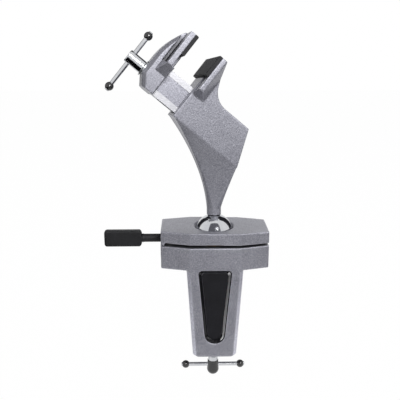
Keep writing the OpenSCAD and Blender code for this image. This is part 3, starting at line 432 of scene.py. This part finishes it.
def highlight_band_surface(thickness=0.06, across=7):
    """A thin band on the frame's sloping wall. At s along the outline and q across, the point is the wall's
    point at depth q * reach(s), lifted off the wall by thickness * sin(pi q) and a little more. The reach
    falls from the whole wall to about half of it round the foot, and to nothing at both ends."""
    rim, base = outline(band_rim), outline(band_base)
    s = np.linspace(0.0, 1.0, len(rim))[:, None]
    ends = np.clip(np.minimum(s / start_taper, (1.0 - s) / end_taper), 0.0, 1.0) ** 0.5
    reach = ends * (1.0 - foot_loss * np.clip((s - foot_from) / foot_over, 0.0, 1.0))
    q = np.linspace(0.0, 1.0, across)[None]
    inward = q * reach
    lift = thickness * np.sin(math.pi * q) * ends + least_lift
    x = rim[:, :1] * (1 - inward) + base[:, :1] * inward
    z = rim[:, 1:] * (1 - inward) + base[:, 1:] * inward
    y = front + band_front + wall_depth * inward
    upper = np.stack([x - off_wall_x * lift, y - off_wall_y * lift, z], axis=-1)
    lower = np.stack([x, y, z], axis=-1)[:, ::-1]
    rings = np.concatenate([upper, lower], axis=1)
    caps = np.broadcast_to(rings[[0, -1]].mean(axis=1)[:, None], (2,) + rings.shape[1:])
    return np.concatenate([caps[:1], rings, caps[1:]]) * mm


show("bezel_bright_edge", skin_mesh("bezel_bright_edge", highlight_band_surface()), highlight_metal, "table_clamp", (),
     smooth_angle=50.0)

# Bolts and screws of the clamp, and the spindle's ring: alloy steel, blackened in a hot salt bath and oiled.
# The blackening gives a dark satin skin with faint brown and grey clouds.
black_steel, tree, shader = finish("alloy steel, chemically blackened", Metallic=0.85)
place = add(tree, "ShaderNodeTexCoord").outputs["Object"]
bath = add(tree, "ShaderNodeTexNoise", {"Scale": 180.0, "Detail": 4.0}, {"Vector": place})
skin = add(tree, "ShaderNodeValToRGB",
           {"stops": [(0.3, "#232325"), (0.55, "#2f2f32"), (0.75, "#3b3735")]}, {"Fac": bath.outputs[0]})
tree.links.new(skin.outputs["Color"], shader.inputs["Base Color"])
shine = add(tree, "ShaderNodeMapRange", {"To Min": 0.3, "To Max": 0.5}, {"Value": bath.outputs[0]})
tree.links.new(shine.outputs[0], shader.inputs["Roughness"])
grit = add(tree, "ShaderNodeTexNoise", {"Scale": 2600.0, "Detail": 2.0}, {"Vector": place})
relief = add(tree, "ShaderNodeBump", {"Strength": 0.3, "Distance": 0.0001}, {"Height": grit.outputs[0]})
tree.links.new(relief.outputs[0], shader.inputs["Normal"])

dress(black_steel, "cap_screws", "clamp_bolt", "hub_grub_screw", "retaining_ring")

# Washers and the lever's hub: turned mild steel, bright zinc plated.
# Zinc gives a pale grey satin metal with fine turning marks and slightly blue and yellow patches.
zinc_plate, tree, shader = finish("mild steel, bright zinc plated", Metallic=1.0)
place = add(tree, "ShaderNodeTexCoord").outputs["Object"]
patch = add(tree, "ShaderNodeTexNoise", {"Scale": 220.0, "Detail": 3.0}, {"Vector": place})
plating = add(tree, "ShaderNodeValToRGB",
              {"stops": [(0.3, "#a9adb2"), (0.5, "#b9bbbc"), (0.72, "#c4c1b8")]}, {"Fac": patch.outputs[0]})
tree.links.new(plating.outputs["Color"], shader.inputs["Base Color"])
# Turning marks about 0.3 mm apart up the height, which is the axis of all these pieces but the leaning
# thrust washer
flat = add(tree, "ShaderNodeMapping", {"Scale": (0.4, 0.4, 60.0)}, {"Vector": place})
marks = add(tree, "ShaderNodeTexNoise", {"Scale": 60.0, "Detail": 2.0}, {"Vector": flat.outputs[0]})
shine = add(tree, "ShaderNodeMapRange", {"To Min": 0.26, "To Max": 0.44}, {"Value": marks.outputs[0]})
tree.links.new(shine.outputs[0], shader.inputs["Roughness"])
relief = add(tree, "ShaderNodeBump", {"Strength": 0.25, "Distance": 0.0001}, {"Height": marks.outputs[0]})
tree.links.new(relief.outputs[0], shader.inputs["Normal"])
dress(zinc_plate, "bolt_washer", "lever_hub", "thrust_washer")

# Chromed steel of the ball, the bars, both long screws and the lever's rod: ground, polished and chromed.
# Chrome gives clear reflections, slightly blue, with faint handling marks that soften them in patches.
chrome, tree, shader = finish("steel, polished and chromed", Metallic=1.0)
place = add(tree, "ShaderNodeTexCoord").outputs["Object"]
touch = add(tree, "ShaderNodeTexNoise", {"Scale": 120.0, "Detail": 4.0, "Roughness": 0.6}, {"Vector": place})
metal = add(tree, "ShaderNodeValToRGB", {"stops": [(0.35, "#c3c5c9"), (0.7, "#d2d3d5")]},
            {"Fac": touch.outputs[0]})
tree.links.new(metal.outputs["Color"], shader.inputs["Base Color"])
shine = add(tree, "ShaderNodeMapRange", {"From Min": 0.3, "From Max": 0.75, "To Min": 0.05, "To Max": 0.16},
            {"Value": touch.outputs[0]})
tree.links.new(shine.outputs[0], shader.inputs["Roughness"])
dress(chrome, "lever_rod")

# Lever grip: a flat paddle moulded round the rod in one piece with its sleeve.
# Black glass-filled nylon, fine spark-eroded mould grain: nearly matt, with a little dust in the grain.
nylon, tree, shader = finish("glass-filled nylon, mould grained", IOR=1.53, Specular_IOR_Level=0.3)
place = add(tree, "ShaderNodeTexCoord").outputs["Object"]
grain = add(tree, "ShaderNodeTexNoise", {"Scale": 2400.0, "Detail": 2.0, "Roughness": 0.6}, {"Vector": place})
dust = add(tree, "ShaderNodeTexNoise", {"Scale": 160.0, "Detail": 4.0}, {"Vector": place})
tone = add(tree, "ShaderNodeMix", {"data_type": "FLOAT", 0: 0.5}, {2: grain.outputs[0], 3: dust.outputs[0]})
black = add(tree, "ShaderNodeValToRGB",
            {"stops": [(0.35, "#0f0f11"), (0.55, "#161619"), (0.7, "#202024")]}, {"Fac": tone.outputs[0]})
tree.links.new(black.outputs["Color"], shader.inputs["Base Color"])
shine = add(tree, "ShaderNodeMapRange", {"To Min": 0.42, "To Max": 0.66}, {"Value": dust.outputs[0]})
tree.links.new(shine.outputs[0], shader.inputs["Roughness"])
relief = add(tree, "ShaderNodeBump", {"Strength": 0.4, "Distance": 0.0001}, {"Height": grain.outputs[0]})
tree.links.new(relief.outputs[0], shader.inputs["Normal"])

grip_near, grip_far = -57.9, -87.9
grip_half_h, sleeve_r, sleeve_end = 6.6, 3.3, -40.25
shoulder_round, tip_round, paddle_slim = 2.2, 2.2, 0.12
collar_high, collar_back, collar_wide = 0.25, 0.9, 0.5
tip_loss_h, tip_loss_t, round_power, bar_power = 0.32, 0.55, 2.0, 7.0
lever_z = joints["lever_swing"]["pos_m"][2] / mm


def grip_surface(along=150, around=96):
    """Lever grip. At x the section is |y / t|^n + |z / h|^n = 1. Half height h and half thickness t are the
    sleeve's radius up to the paddle, with a small ring before it. There h widens to full height within a
    round shoulder, and the power n goes from 2, a circle, to 7, a rounded bar. Both half sizes shrink along
    a quarter ellipse at the far end."""
    s = np.linspace(0.0, 1.0, along)
    x = sleeve_end + (grip_far - sleeve_end) * s
    # More rows by the shoulder and the tip, where the form changes fast
    by_shoulder = grip_near + np.linspace(-2.5, 1.0, 24)
    by_tip = grip_far + 2.4 * (1 - np.cos(np.linspace(0, math.pi / 2, 16)))
    x = np.sort(np.concatenate([x, by_shoulder, by_tip]))[::-1]
    into = np.clip((grip_near - x) / shoulder_round, 0.0, 1.0)
    shoulder = np.sqrt(1.0 - (1.0 - into) ** 2)
    close = np.clip((x - grip_far) / tip_round, 0.0, 1.0)
    tip = np.sqrt(1.0 - (1.0 - close) ** 2)
    collar = collar_high * np.exp(-((x - grip_near - collar_back) / collar_wide) ** 2)
    half_h = (sleeve_r + collar + (grip_half_h - sleeve_r) * shoulder) * (1 - tip_loss_h * (1 - tip))
    half_t = (sleeve_r + collar * (1 - into) - paddle_slim * into) * (1 - tip_loss_t * (1 - tip))
    power = round_power + (bar_power - round_power) * into
    t = np.linspace(0.0, 2 * math.pi, around, endpoint=False)
    c, d = np.cos(t)[None], np.sin(t)[None]
    y = half_t[:, None] * np.sign(c) * np.abs(c) ** (2 / power[:, None])
    z = half_h[:, None] * np.sign(d) * np.abs(d) ** (2 / power[:, None])
    rings = np.stack([np.broadcast_to(x[:, None], y.shape), y, z + lever_z], axis=-1)
    poles = np.stack([np.broadcast_to([x[i], 0.0, lever_z], (around, 3)) for i in (0, -1)])
    return np.concatenate([poles[:1], rings, poles[1:]]) * mm


show("lever_handle", skin_mesh("lever_handle", grip_surface()), nylon, "lever", ["lever_grip"],
     smooth_angle=50.0)

# Lower ball seat and spindle nut: bearing brass, turned and left bare.
# Brass gives a warm yellow metal, duller where the air has toned it.
brass, tree, shader = finish("bearing brass, turned", Metallic=1.0)
place = add(tree, "ShaderNodeTexCoord").outputs["Object"]
air = add(tree, "ShaderNodeTexNoise", {"Scale": 150.0, "Detail": 4.0}, {"Vector": place})
yellow = add(tree, "ShaderNodeValToRGB",
             {"stops": [(0.3, "#a98545"), (0.5, "#c39e57"), (0.7, "#d2b06a")]}, {"Fac": air.outputs[0]})
tree.links.new(yellow.outputs["Color"], shader.inputs["Base Color"])
shine = add(tree, "ShaderNodeMapRange", {"To Min": 0.24, "To Max": 0.46}, {"Value": air.outputs[0]})
tree.links.new(shine.outputs[0], shader.inputs["Roughness"])
dress(brass, "ball_cup", "spindle_nut")

# Ball and stud: one steel turning, the ball ground true and chromed, 30 mm across.
# The ball sits about half sunk in the block.
ball_centre = Vector(joints["ball_tilt"]["pos_m"])
stem_axis = Vector(joints["head_spin"]["axis"]).normalized()


def turned(name, profile, start, axis, sides=96):
    """A turned solid. The point at profile step s and turn t is start + axis * length(s) + radius(s) *
    (across * cos t + side * sin t), with lengths and radii in millimetres."""
    axis = Vector(axis).normalized()
    across = axis.orthogonal().normalized()
    side = axis.cross(across)
    turn = np.linspace(0.0, 2 * math.pi, sides, endpoint=False)
    ring = np.outer(np.cos(turn), across) + np.outer(np.sin(turn), side)
    length, radius = np.array(profile, dtype=float).T * mm
    points = np.array(start) + length[:, None, None] * np.array(axis) + radius[:, None, None] * ring[None]
    return skin_mesh(name, points)


def eased(corners, radius, steps=5, most=0.45):
    """A polyline whose inner corners are cut back by a radius, or by the most of a side that may go, and
    bridged by a curve: at t it is (1 - t)^2 * before + 2 t (1 - t) * corner + t^2 * after."""
    p = np.array(corners, dtype=float)
    before, after = p[:-2] - p[1:-1], p[2:] - p[1:-1]
    reach = [np.minimum(radius, most * np.linalg.norm(v, axis=1))[:, None] * v
             / np.maximum(np.linalg.norm(v, axis=1), 1e-9)[:, None] for v in (before, after)]
    t = np.linspace(0.0, 1.0, steps)[None, :, None]
    a, b, mid = p[1:-1] + reach[0], p[1:-1] + reach[1], p[1:-1]
    curve = (1 - t) ** 2 * a[:, None] + 2 * t * (1 - t) * mid[:, None] + t ** 2 * b[:, None]
    return np.concatenate([p[:1], curve.reshape(-1, 2), p[-1:]])


ball_r, stud_r, stud_top, stud_bevel = 15.0, 3.0, 31.0, 0.4
sweep = np.linspace(-math.pi / 2, math.acos(stud_r / ball_r), 80)
stud_end = [(stud_top - stud_bevel, stud_r), (stud_top, stud_r - stud_bevel), (stud_top, 0.0)]
ball_profile = np.concatenate([np.stack([ball_r * np.sin(sweep), ball_r * np.cos(sweep)], axis=1), stud_end])
ball_profile[0, 1] = 0.0
show("chromed_ball", turned("chromed_ball", ball_profile, ball_centre, stem_axis, sides=128), chrome,
     "ball", ["ball_stud"])

# Vise arm: zinc die casting, a round neck that opens through a flared stem to the body with the fixed jaw.
# Same lacquer as the clamp. The slot for the slide is open from end to end.
opening = Vector(joints["jaw_slide"]["axis"]).normalized()
rise = Vector(joints["tommy_slide"]["axis"]).normalized()
across_jaws = rise.cross(opening)
jaw_axes = np.array([opening, across_jaws, rise])
show("arm_casting",
     cast_copy(frame["nodes"]["vise_arm"].data.copy(), size=0.5, rounds=4, axes=jaw_axes),
     hammer_paint, "head", ["vise_arm"], all_smooth)

# Jaw pads: hard black rubber, moulded with pegs and bevels and pressed into the jaws. The face of the
# pressure foot is the same rubber, a dull dark grey with fine mould texture and paler rubbed patches.
rubber, tree, shader = finish("hard rubber, moulded", Specular_IOR_Level=0.35)
place = add(tree, "ShaderNodeTexCoord").outputs["Object"]
fine = add(tree, "ShaderNodeTexNoise", {"Scale": 1500.0, "Detail": 3.0, "Roughness": 0.65}, {"Vector": place})
rub = add(tree, "ShaderNodeTexNoise", {"Scale": 130.0, "Detail": 3.0}, {"Vector": place})
tone = add(tree, "ShaderNodeMix", {"data_type": "FLOAT", 0: 0.4}, {2: fine.outputs[0], 3: rub.outputs[0]})
grey = add(tree, "ShaderNodeValToRGB",
           {"stops": [(0.35, "#1d1d1f"), (0.55, "#29292c"), (0.7, "#38383b")]}, {"Fac": tone.outputs[0]})
tree.links.new(grey.outputs["Color"], shader.inputs["Base Color"])
shine = add(tree, "ShaderNodeMapRange", {"To Min": 0.6, "To Max": 0.8}, {"Value": rub.outputs[0]})
tree.links.new(shine.outputs[0], shader.inputs["Roughness"])
relief = add(tree, "ShaderNodeBump", {"Strength": 0.35, "Distance": 0.00015}, {"Height": fine.outputs[0]})
tree.links.new(relief.outputs[0], shader.inputs["Normal"])

show("fixed_pad", eased_copy("fixed_jaw_pad", radius=0.25), rubber, "head", ["fixed_jaw_pad"])
show("moving_pad", eased_copy("movable_jaw_pad", radius=0.25), rubber, "jaw", ["movable_jaw_pad"])
show("foot_face", eased_copy("foot_pad", radius=0.5, steps=4), rubber, "foot", ["foot_pad"])

# Movable jaw: one casting with its slide. The lacquer covers the jaw and the fields between the rails.
# The rails, the slide's top and its underside are milled bare, a light grey metal with lengthwise marks.
milled, tree, shader = finish("zinc alloy, milled bare", Metallic=0.75)
place = add(tree, "ShaderNodeTexCoord").outputs["Object"]
# Marks about half a millimetre apart that run along the slide: the pattern is turned to the slide's
# direction and stretched along it
slide_slope, head_turn, stretch = -0.698, 0.169, 0.03
lie = add(tree, "ShaderNodeMapping",
          {"Rotation": (0.0, slide_slope, head_turn), "Scale": (stretch, 1.0, 1.0)}, {"Vector": place})
marks = add(tree, "ShaderNodeTexNoise", {"Scale": 1800.0, "Detail": 3.0}, {"Vector": lie.outputs[0]})
bare = add(tree, "ShaderNodeValToRGB", {"stops": [(0.3, "#b8b8bc"), (0.7, "#d6d6da")]},
           {"Fac": marks.outputs[0]})
tree.links.new(bare.outputs["Color"], shader.inputs["Base Color"])
shine = add(tree, "ShaderNodeMapRange", {"To Min": 0.45, "To Max": 0.62}, {"Value": marks.outputs[0]})
tree.links.new(shine.outputs[0], shader.inputs["Roughness"])
relief = add(tree, "ShaderNodeBump", {"Strength": 0.2, "Distance": 0.0001}, {"Height": marks.outputs[0]})
tree.links.new(relief.outputs[0], shader.inputs["Normal"])

shoulder_out = 107.2
shoulder = ball_centre + shoulder_out * mm * opening
show("jaw_casting",
     cast_copy(half_of("movable_jaw", shoulder, opening), size=0.34, rounds=6, axes=jaw_axes),
     hammer_paint, "jaw", ["movable_jaw"], all_smooth)

# Slide: the long bar of the same casting, milled on its rails, its top and its underside after painting.
# It runs in the arm's slot, and its channel holds the nut and the spindle.
slide_low, slide_high, rail_h, slide_half, skin_depth = 53.35, 76.45, 4.5, 7.0, 0.2
slide_mesh = half_of("movable_jaw", shoulder, -opening)
slide_mesh.materials.clear()
faces = slide_mesh.polygons
centres = np.array([face.center for face in faces]) - np.array(ball_centre)
across, up = (centres @ jaw_axes.T / mm).T[1:]
rails = (np.abs(across) > slide_half - skin_depth) & ((up < slide_low + rail_h) | (up > slide_high - rail_h))
guides = (up < slide_low + skin_depth) | (up > slide_high - skin_depth)
faces.foreach_set("material_index", (rails | guides).astype(np.int32))
# The fields look lighter than the arm in the photograph, so their lacquer is a copy with painted light: one
# lighter tone, in place of the painted edge light and corner shade. The slide's faces are too large for a
# tone that follows the edges.
field_painted_light = 1.15
lighter_field_paint = hammer_paint.copy()
lighter_field_paint.name = "hammer effect lacquer, thin in the slide's fields"
for limit in ("To Min", "To Max"):
    lighter_field_paint.node_tree.nodes[painted_edge_light.name].inputs[limit].default_value = field_painted_light
show("jaw_slide", slide_mesh, [lighter_field_paint, milled], "jaw", ["movable_jaw"])

# Spindle: chromed steel, a plain round head with a cross hole, and a rolled right-hand thread of 2 mm
# pitch. The thread runs in the brass nut, and a ring in a groove holds the spindle in the jaw.
spindle_rise = 64.9
spindle_start = ball_centre + spindle_rise * mm * rise
flank_slope, crest_offset = 3.0, 0.25


def threaded(name, start, axis, low, high, crest, depth, pitch, sides=48, each_pitch=10):
    """A right-hand thread. At length l and turn t, the phase is l / pitch - t / 2 pi, and the radius falls
    from the crest by depth times a trapezoid wave of that phase. It fades to the root within half a pitch
    of both ends."""
    axis = Vector(axis).normalized()
    across = axis.orthogonal().normalized()
    side = axis.cross(across)
    length = np.linspace(low, high, int((high - low) / pitch * each_pitch))[:, None]
    turn = np.linspace(0.0, 2 * math.pi, sides, endpoint=False)[None]
    phase = (length / pitch - turn / (2 * math.pi)) % 1.0
    groove = np.clip(flank_slope * np.abs(phase - 0.5) - crest_offset, 0.0, 1.0)
    fade = np.clip(np.minimum(length - low, high - length) / (0.5 * pitch), 0.0, 1.0)
    radius = crest - depth * (1.0 - (1.0 - groove) * fade)
    ring = np.cos(turn)[..., None] * np.array(across) + np.sin(turn)[..., None] * np.array(side)
    points = np.array(start) + mm * (length[..., None] * np.array(axis) + radius[..., None] * ring)
    ends = np.array(start) + mm * np.array([[low], [high]])[..., None] * np.array(axis)
    ends = np.broadcast_to(ends, (2, sides, 3))
    return skin_mesh(name, np.concatenate([ends[:1], points, ends[1:]]))


def drilled(mesh, place, axis, radius, reach=20.0):
    """The mesh with a round hole along an axis, from a place to a reach in millimetres both ways."""
    rod = [(-reach, 0.0), (-reach, radius), (reach, radius), (reach, 0.0)]
    drill = bpy.data.objects.new("drill", turned("drill", rod, place, axis, sides=64))
    blank = bpy.data.objects.new("blank", mesh)
    for thing in (drill, blank):
        bpy.context.collection.objects.link(thing)
    hole = blank.modifiers.new("hole", "BOOLEAN")
    hole.operation = "DIFFERENCE"
    hole.object = drill
    bpy.context.view_layer.update()
    made = bpy.data.meshes.new_from_object(blank.evaluated_get(bpy.context.evaluated_depsgraph_get()))
    for thing in (drill, blank):
        bpy.data.objects.remove(thing)
    return made


tommy_centre = Vector(np.mean(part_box("tommy_bar"), axis=0))
head_back, head_rim, head_front, head_end = 123.68, 124.0, 137.45, 138.1
head_r, head_back_r, head_end_r, cross_hole_r = 5.09, 4.7, 4.45, 1.85
head = eased([(head_back, 0.0), (head_back, head_back_r), (head_rim, head_r), (head_front, head_r),
              (head_end, head_end_r), (head_end, 0.0)], radius=0.25)
head_mesh = turned("spindle_head", head, spindle_start, opening, sides=96)
show("spindle_head", drilled(head_mesh, tommy_centre, rise, cross_hole_r), chrome, "screw", ["spindle"])
thread_mesh = threaded("spindle_thread", spindle_start, opening, low=48.0, high=101.5, crest=4.0, depth=0.9,
                       pitch=2.0)
show("spindle_thread", thread_mesh, chrome, "screw", ["spindle"], smooth_angle=60.0)
groove_low, groove_high, groove_r, shank_end, shank_r = 101.4, 102.94, 3.2, 124.5, 4.0
shank = eased([(groove_low, 0.0), (groove_low, groove_r), (groove_high, groove_r), (groove_high, shank_r),
               (shank_end, shank_r), (shank_end, 0.0)], radius=0.15)
show("spindle_shank", turned("spindle_shank", shank, spindle_start, opening, sides=64), chrome, "screw",
     ["spindle"])

# Tommy bars: ground steel bar 3.5 mm thick, chromed, with domed ends that stand out of the knobs.
# The knobs are gloss black phenolic balls, pressed on. Each has a fine parting line round it.
phenolic, tree, shader = finish("black phenolic, polished", IOR=1.6, Roughness=0.12, Coat_Weight=0.3,
                                Coat_Roughness=0.05)
place = add(tree, "ShaderNodeTexCoord").outputs["Object"]
dust = add(tree, "ShaderNodeTexNoise", {"Scale": 420.0, "Detail": 4.0}, {"Vector": place})
black = add(tree, "ShaderNodeValToRGB", {"stops": [(0.4, "#0d0d0e"), (0.75, "#1d1d1f")]},
            {"Fac": dust.outputs[0]})
tree.links.new(black.outputs["Color"], shader.inputs["Base Color"])
relief = add(tree, "ShaderNodeBump", {"Strength": 0.1, "Distance": 0.0001}, {"Height": dust.outputs[0]})
tree.links.new(relief.outputs[0], shader.inputs["Normal"])

bar_r, bar_half, bar_dome, knob_r, knob_out = 1.75, 27.3, 0.6, 3.3, 23.5
parting_high, parting_half = 0.04, 0.05
dome = np.linspace(0.0, math.pi / 2, 8)
bar_end = np.stack([bar_half - bar_dome + bar_dome * np.cos(dome), bar_r * np.sin(dome)], axis=1)
bar_profile = np.concatenate([bar_end * [-1, 1], bar_end[::-1]])
arc = np.linspace(-1.0, 1.0, 49) * math.pi / 2
parting = parting_high * (np.abs(arc) < parting_half)
knob_profile = np.stack([knob_r * np.sin(arc), knob_r * np.cos(arc) + parting], axis=1)
knob_profile[[0, -1], 1] = 0.0


def knob_pair(name, centre, axis):
    """Two turned balls, one at each end of a bar: the same profile about two places along the axis."""
    mesh = turned(name, knob_profile, centre + knob_out * mm * axis, axis, sides=64)
    other = turned(name + "_other", knob_profile, centre - knob_out * mm * axis, axis, sides=64)
    work = bmesh.new()
    work.from_mesh(mesh)
    work.from_mesh(other)
    work.to_mesh(mesh)
    work.free()
    return mesh


show("vise_bar", turned("vise_bar", bar_profile, tommy_centre, rise, sides=48), chrome, "handle",
     ["tommy_bar"])
show("vise_knobs", knob_pair("vise_knobs", tommy_centre, rise), phenolic, "handle",
     ["tommy_bar_knobs"], smooth_angle=60.0)
level = Vector((1.0, 0.0, 0.0))
clamp_centre = Vector(np.mean(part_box("clamp_bar"), axis=0))
show("clamp_cross_bar", turned("clamp_cross_bar", bar_profile, clamp_centre, level, sides=48), chrome,
     "clamp_handle", ["clamp_bar"])
show("clamp_knobs", knob_pair("clamp_knobs", clamp_centre, level), phenolic, "clamp_handle",
     ["clamp_bar_knobs"], smooth_angle=60.0)

# Clamp screw: chromed steel, rolled right-hand thread of 1.5 mm pitch, with a ball end that carries the
# foot. A black phenolic cap covers the spigot under its collar.
upright = Vector((0.0, 0.0, 1.0))
screw_place = Vector(joints["clamp_turn"]["pos_m"])
screw_base = Vector((screw_place.x, screw_place.y, 0.0))
spigot_end, spigot_r, collar_low, collar_top, collar_r = -104.38, 2.78, -93.6, -90.0, 4.18
core_r, core_top, ball_low, ball_mid, ball_neck_r, ball_end_r = 3.6, -39.1, -36.46, -33.6, 2.8, 4.0
bar_hole_r = 1.81
ball_end = np.linspace(-math.asin(math.sqrt(1 - (ball_neck_r / ball_end_r) ** 2)), math.pi / 2, 24)
screw_body = eased([(spigot_end, 0.0), (spigot_end, spigot_r), (collar_low, spigot_r), (collar_low, collar_r),
                    (collar_top, collar_r), (collar_top, core_r), (core_top, core_r), (core_top, spigot_r),
                    (ball_low, ball_neck_r)], radius=0.2)
core = np.concatenate([screw_body, np.stack([ball_mid + ball_end_r * np.sin(ball_end),
                                             ball_end_r * np.cos(ball_end)], axis=1)])
core[-1, 1] = 0.0
core_mesh = turned("screw_core", core, screw_base, upright, sides=64)
show("screw_core", drilled(core_mesh, clamp_centre, level, bar_hole_r), chrome, "clamp_spindle",
     ["clamp_screw"])
thread_mesh = threaded("screw_thread", screw_base, upright, low=-90.0, high=-39.0, crest=4.95, depth=0.8,
                       pitch=1.5)
show("screw_thread", thread_mesh, chrome, "clamp_spindle", ["clamp_screw"],
     smooth_angle=60.0)

# Cap of the screw's head: a slight barrel with a round end, moulded in the same phenolic as the knobs.
# It is bored to fit the screw's spigot, and the bar passes through both.
round_end = np.linspace(0.0, math.pi / 2, 20)
bore_end, bore_r, cap_top, cap_top_r, cap_low, cap_r = -104.36, 2.82, -93.62, 4.58, -102.1, 5.08
bored_side = eased([(bore_end, 0.0), (bore_end, bore_r), (cap_top, bore_r), (cap_top, cap_top_r),
                    (cap_low, cap_r)], radius=0.25)
shell = np.concatenate([bored_side, np.stack([cap_low - cap_r * np.sin(round_end),
                                              cap_r * np.cos(round_end)], axis=1)[1:]])
shell[-1, 1] = 0.0
cap_mesh = turned("screw_cap", shell, screw_base, upright, sides=96)
show("screw_cap", drilled(cap_mesh, clamp_centre, level, bar_hole_r), phenolic, "clamp_spindle",
     ["clamp_screw_head"])

# Pressure foot: turned mild steel, zinc plated, swivelling on the screw's ball end.
# Its rubber face presses on the table's underside.
show("pressure_foot", eased_copy("clamp_foot", radius=0.5), zinc_plate, "foot", ["clamp_foot"])
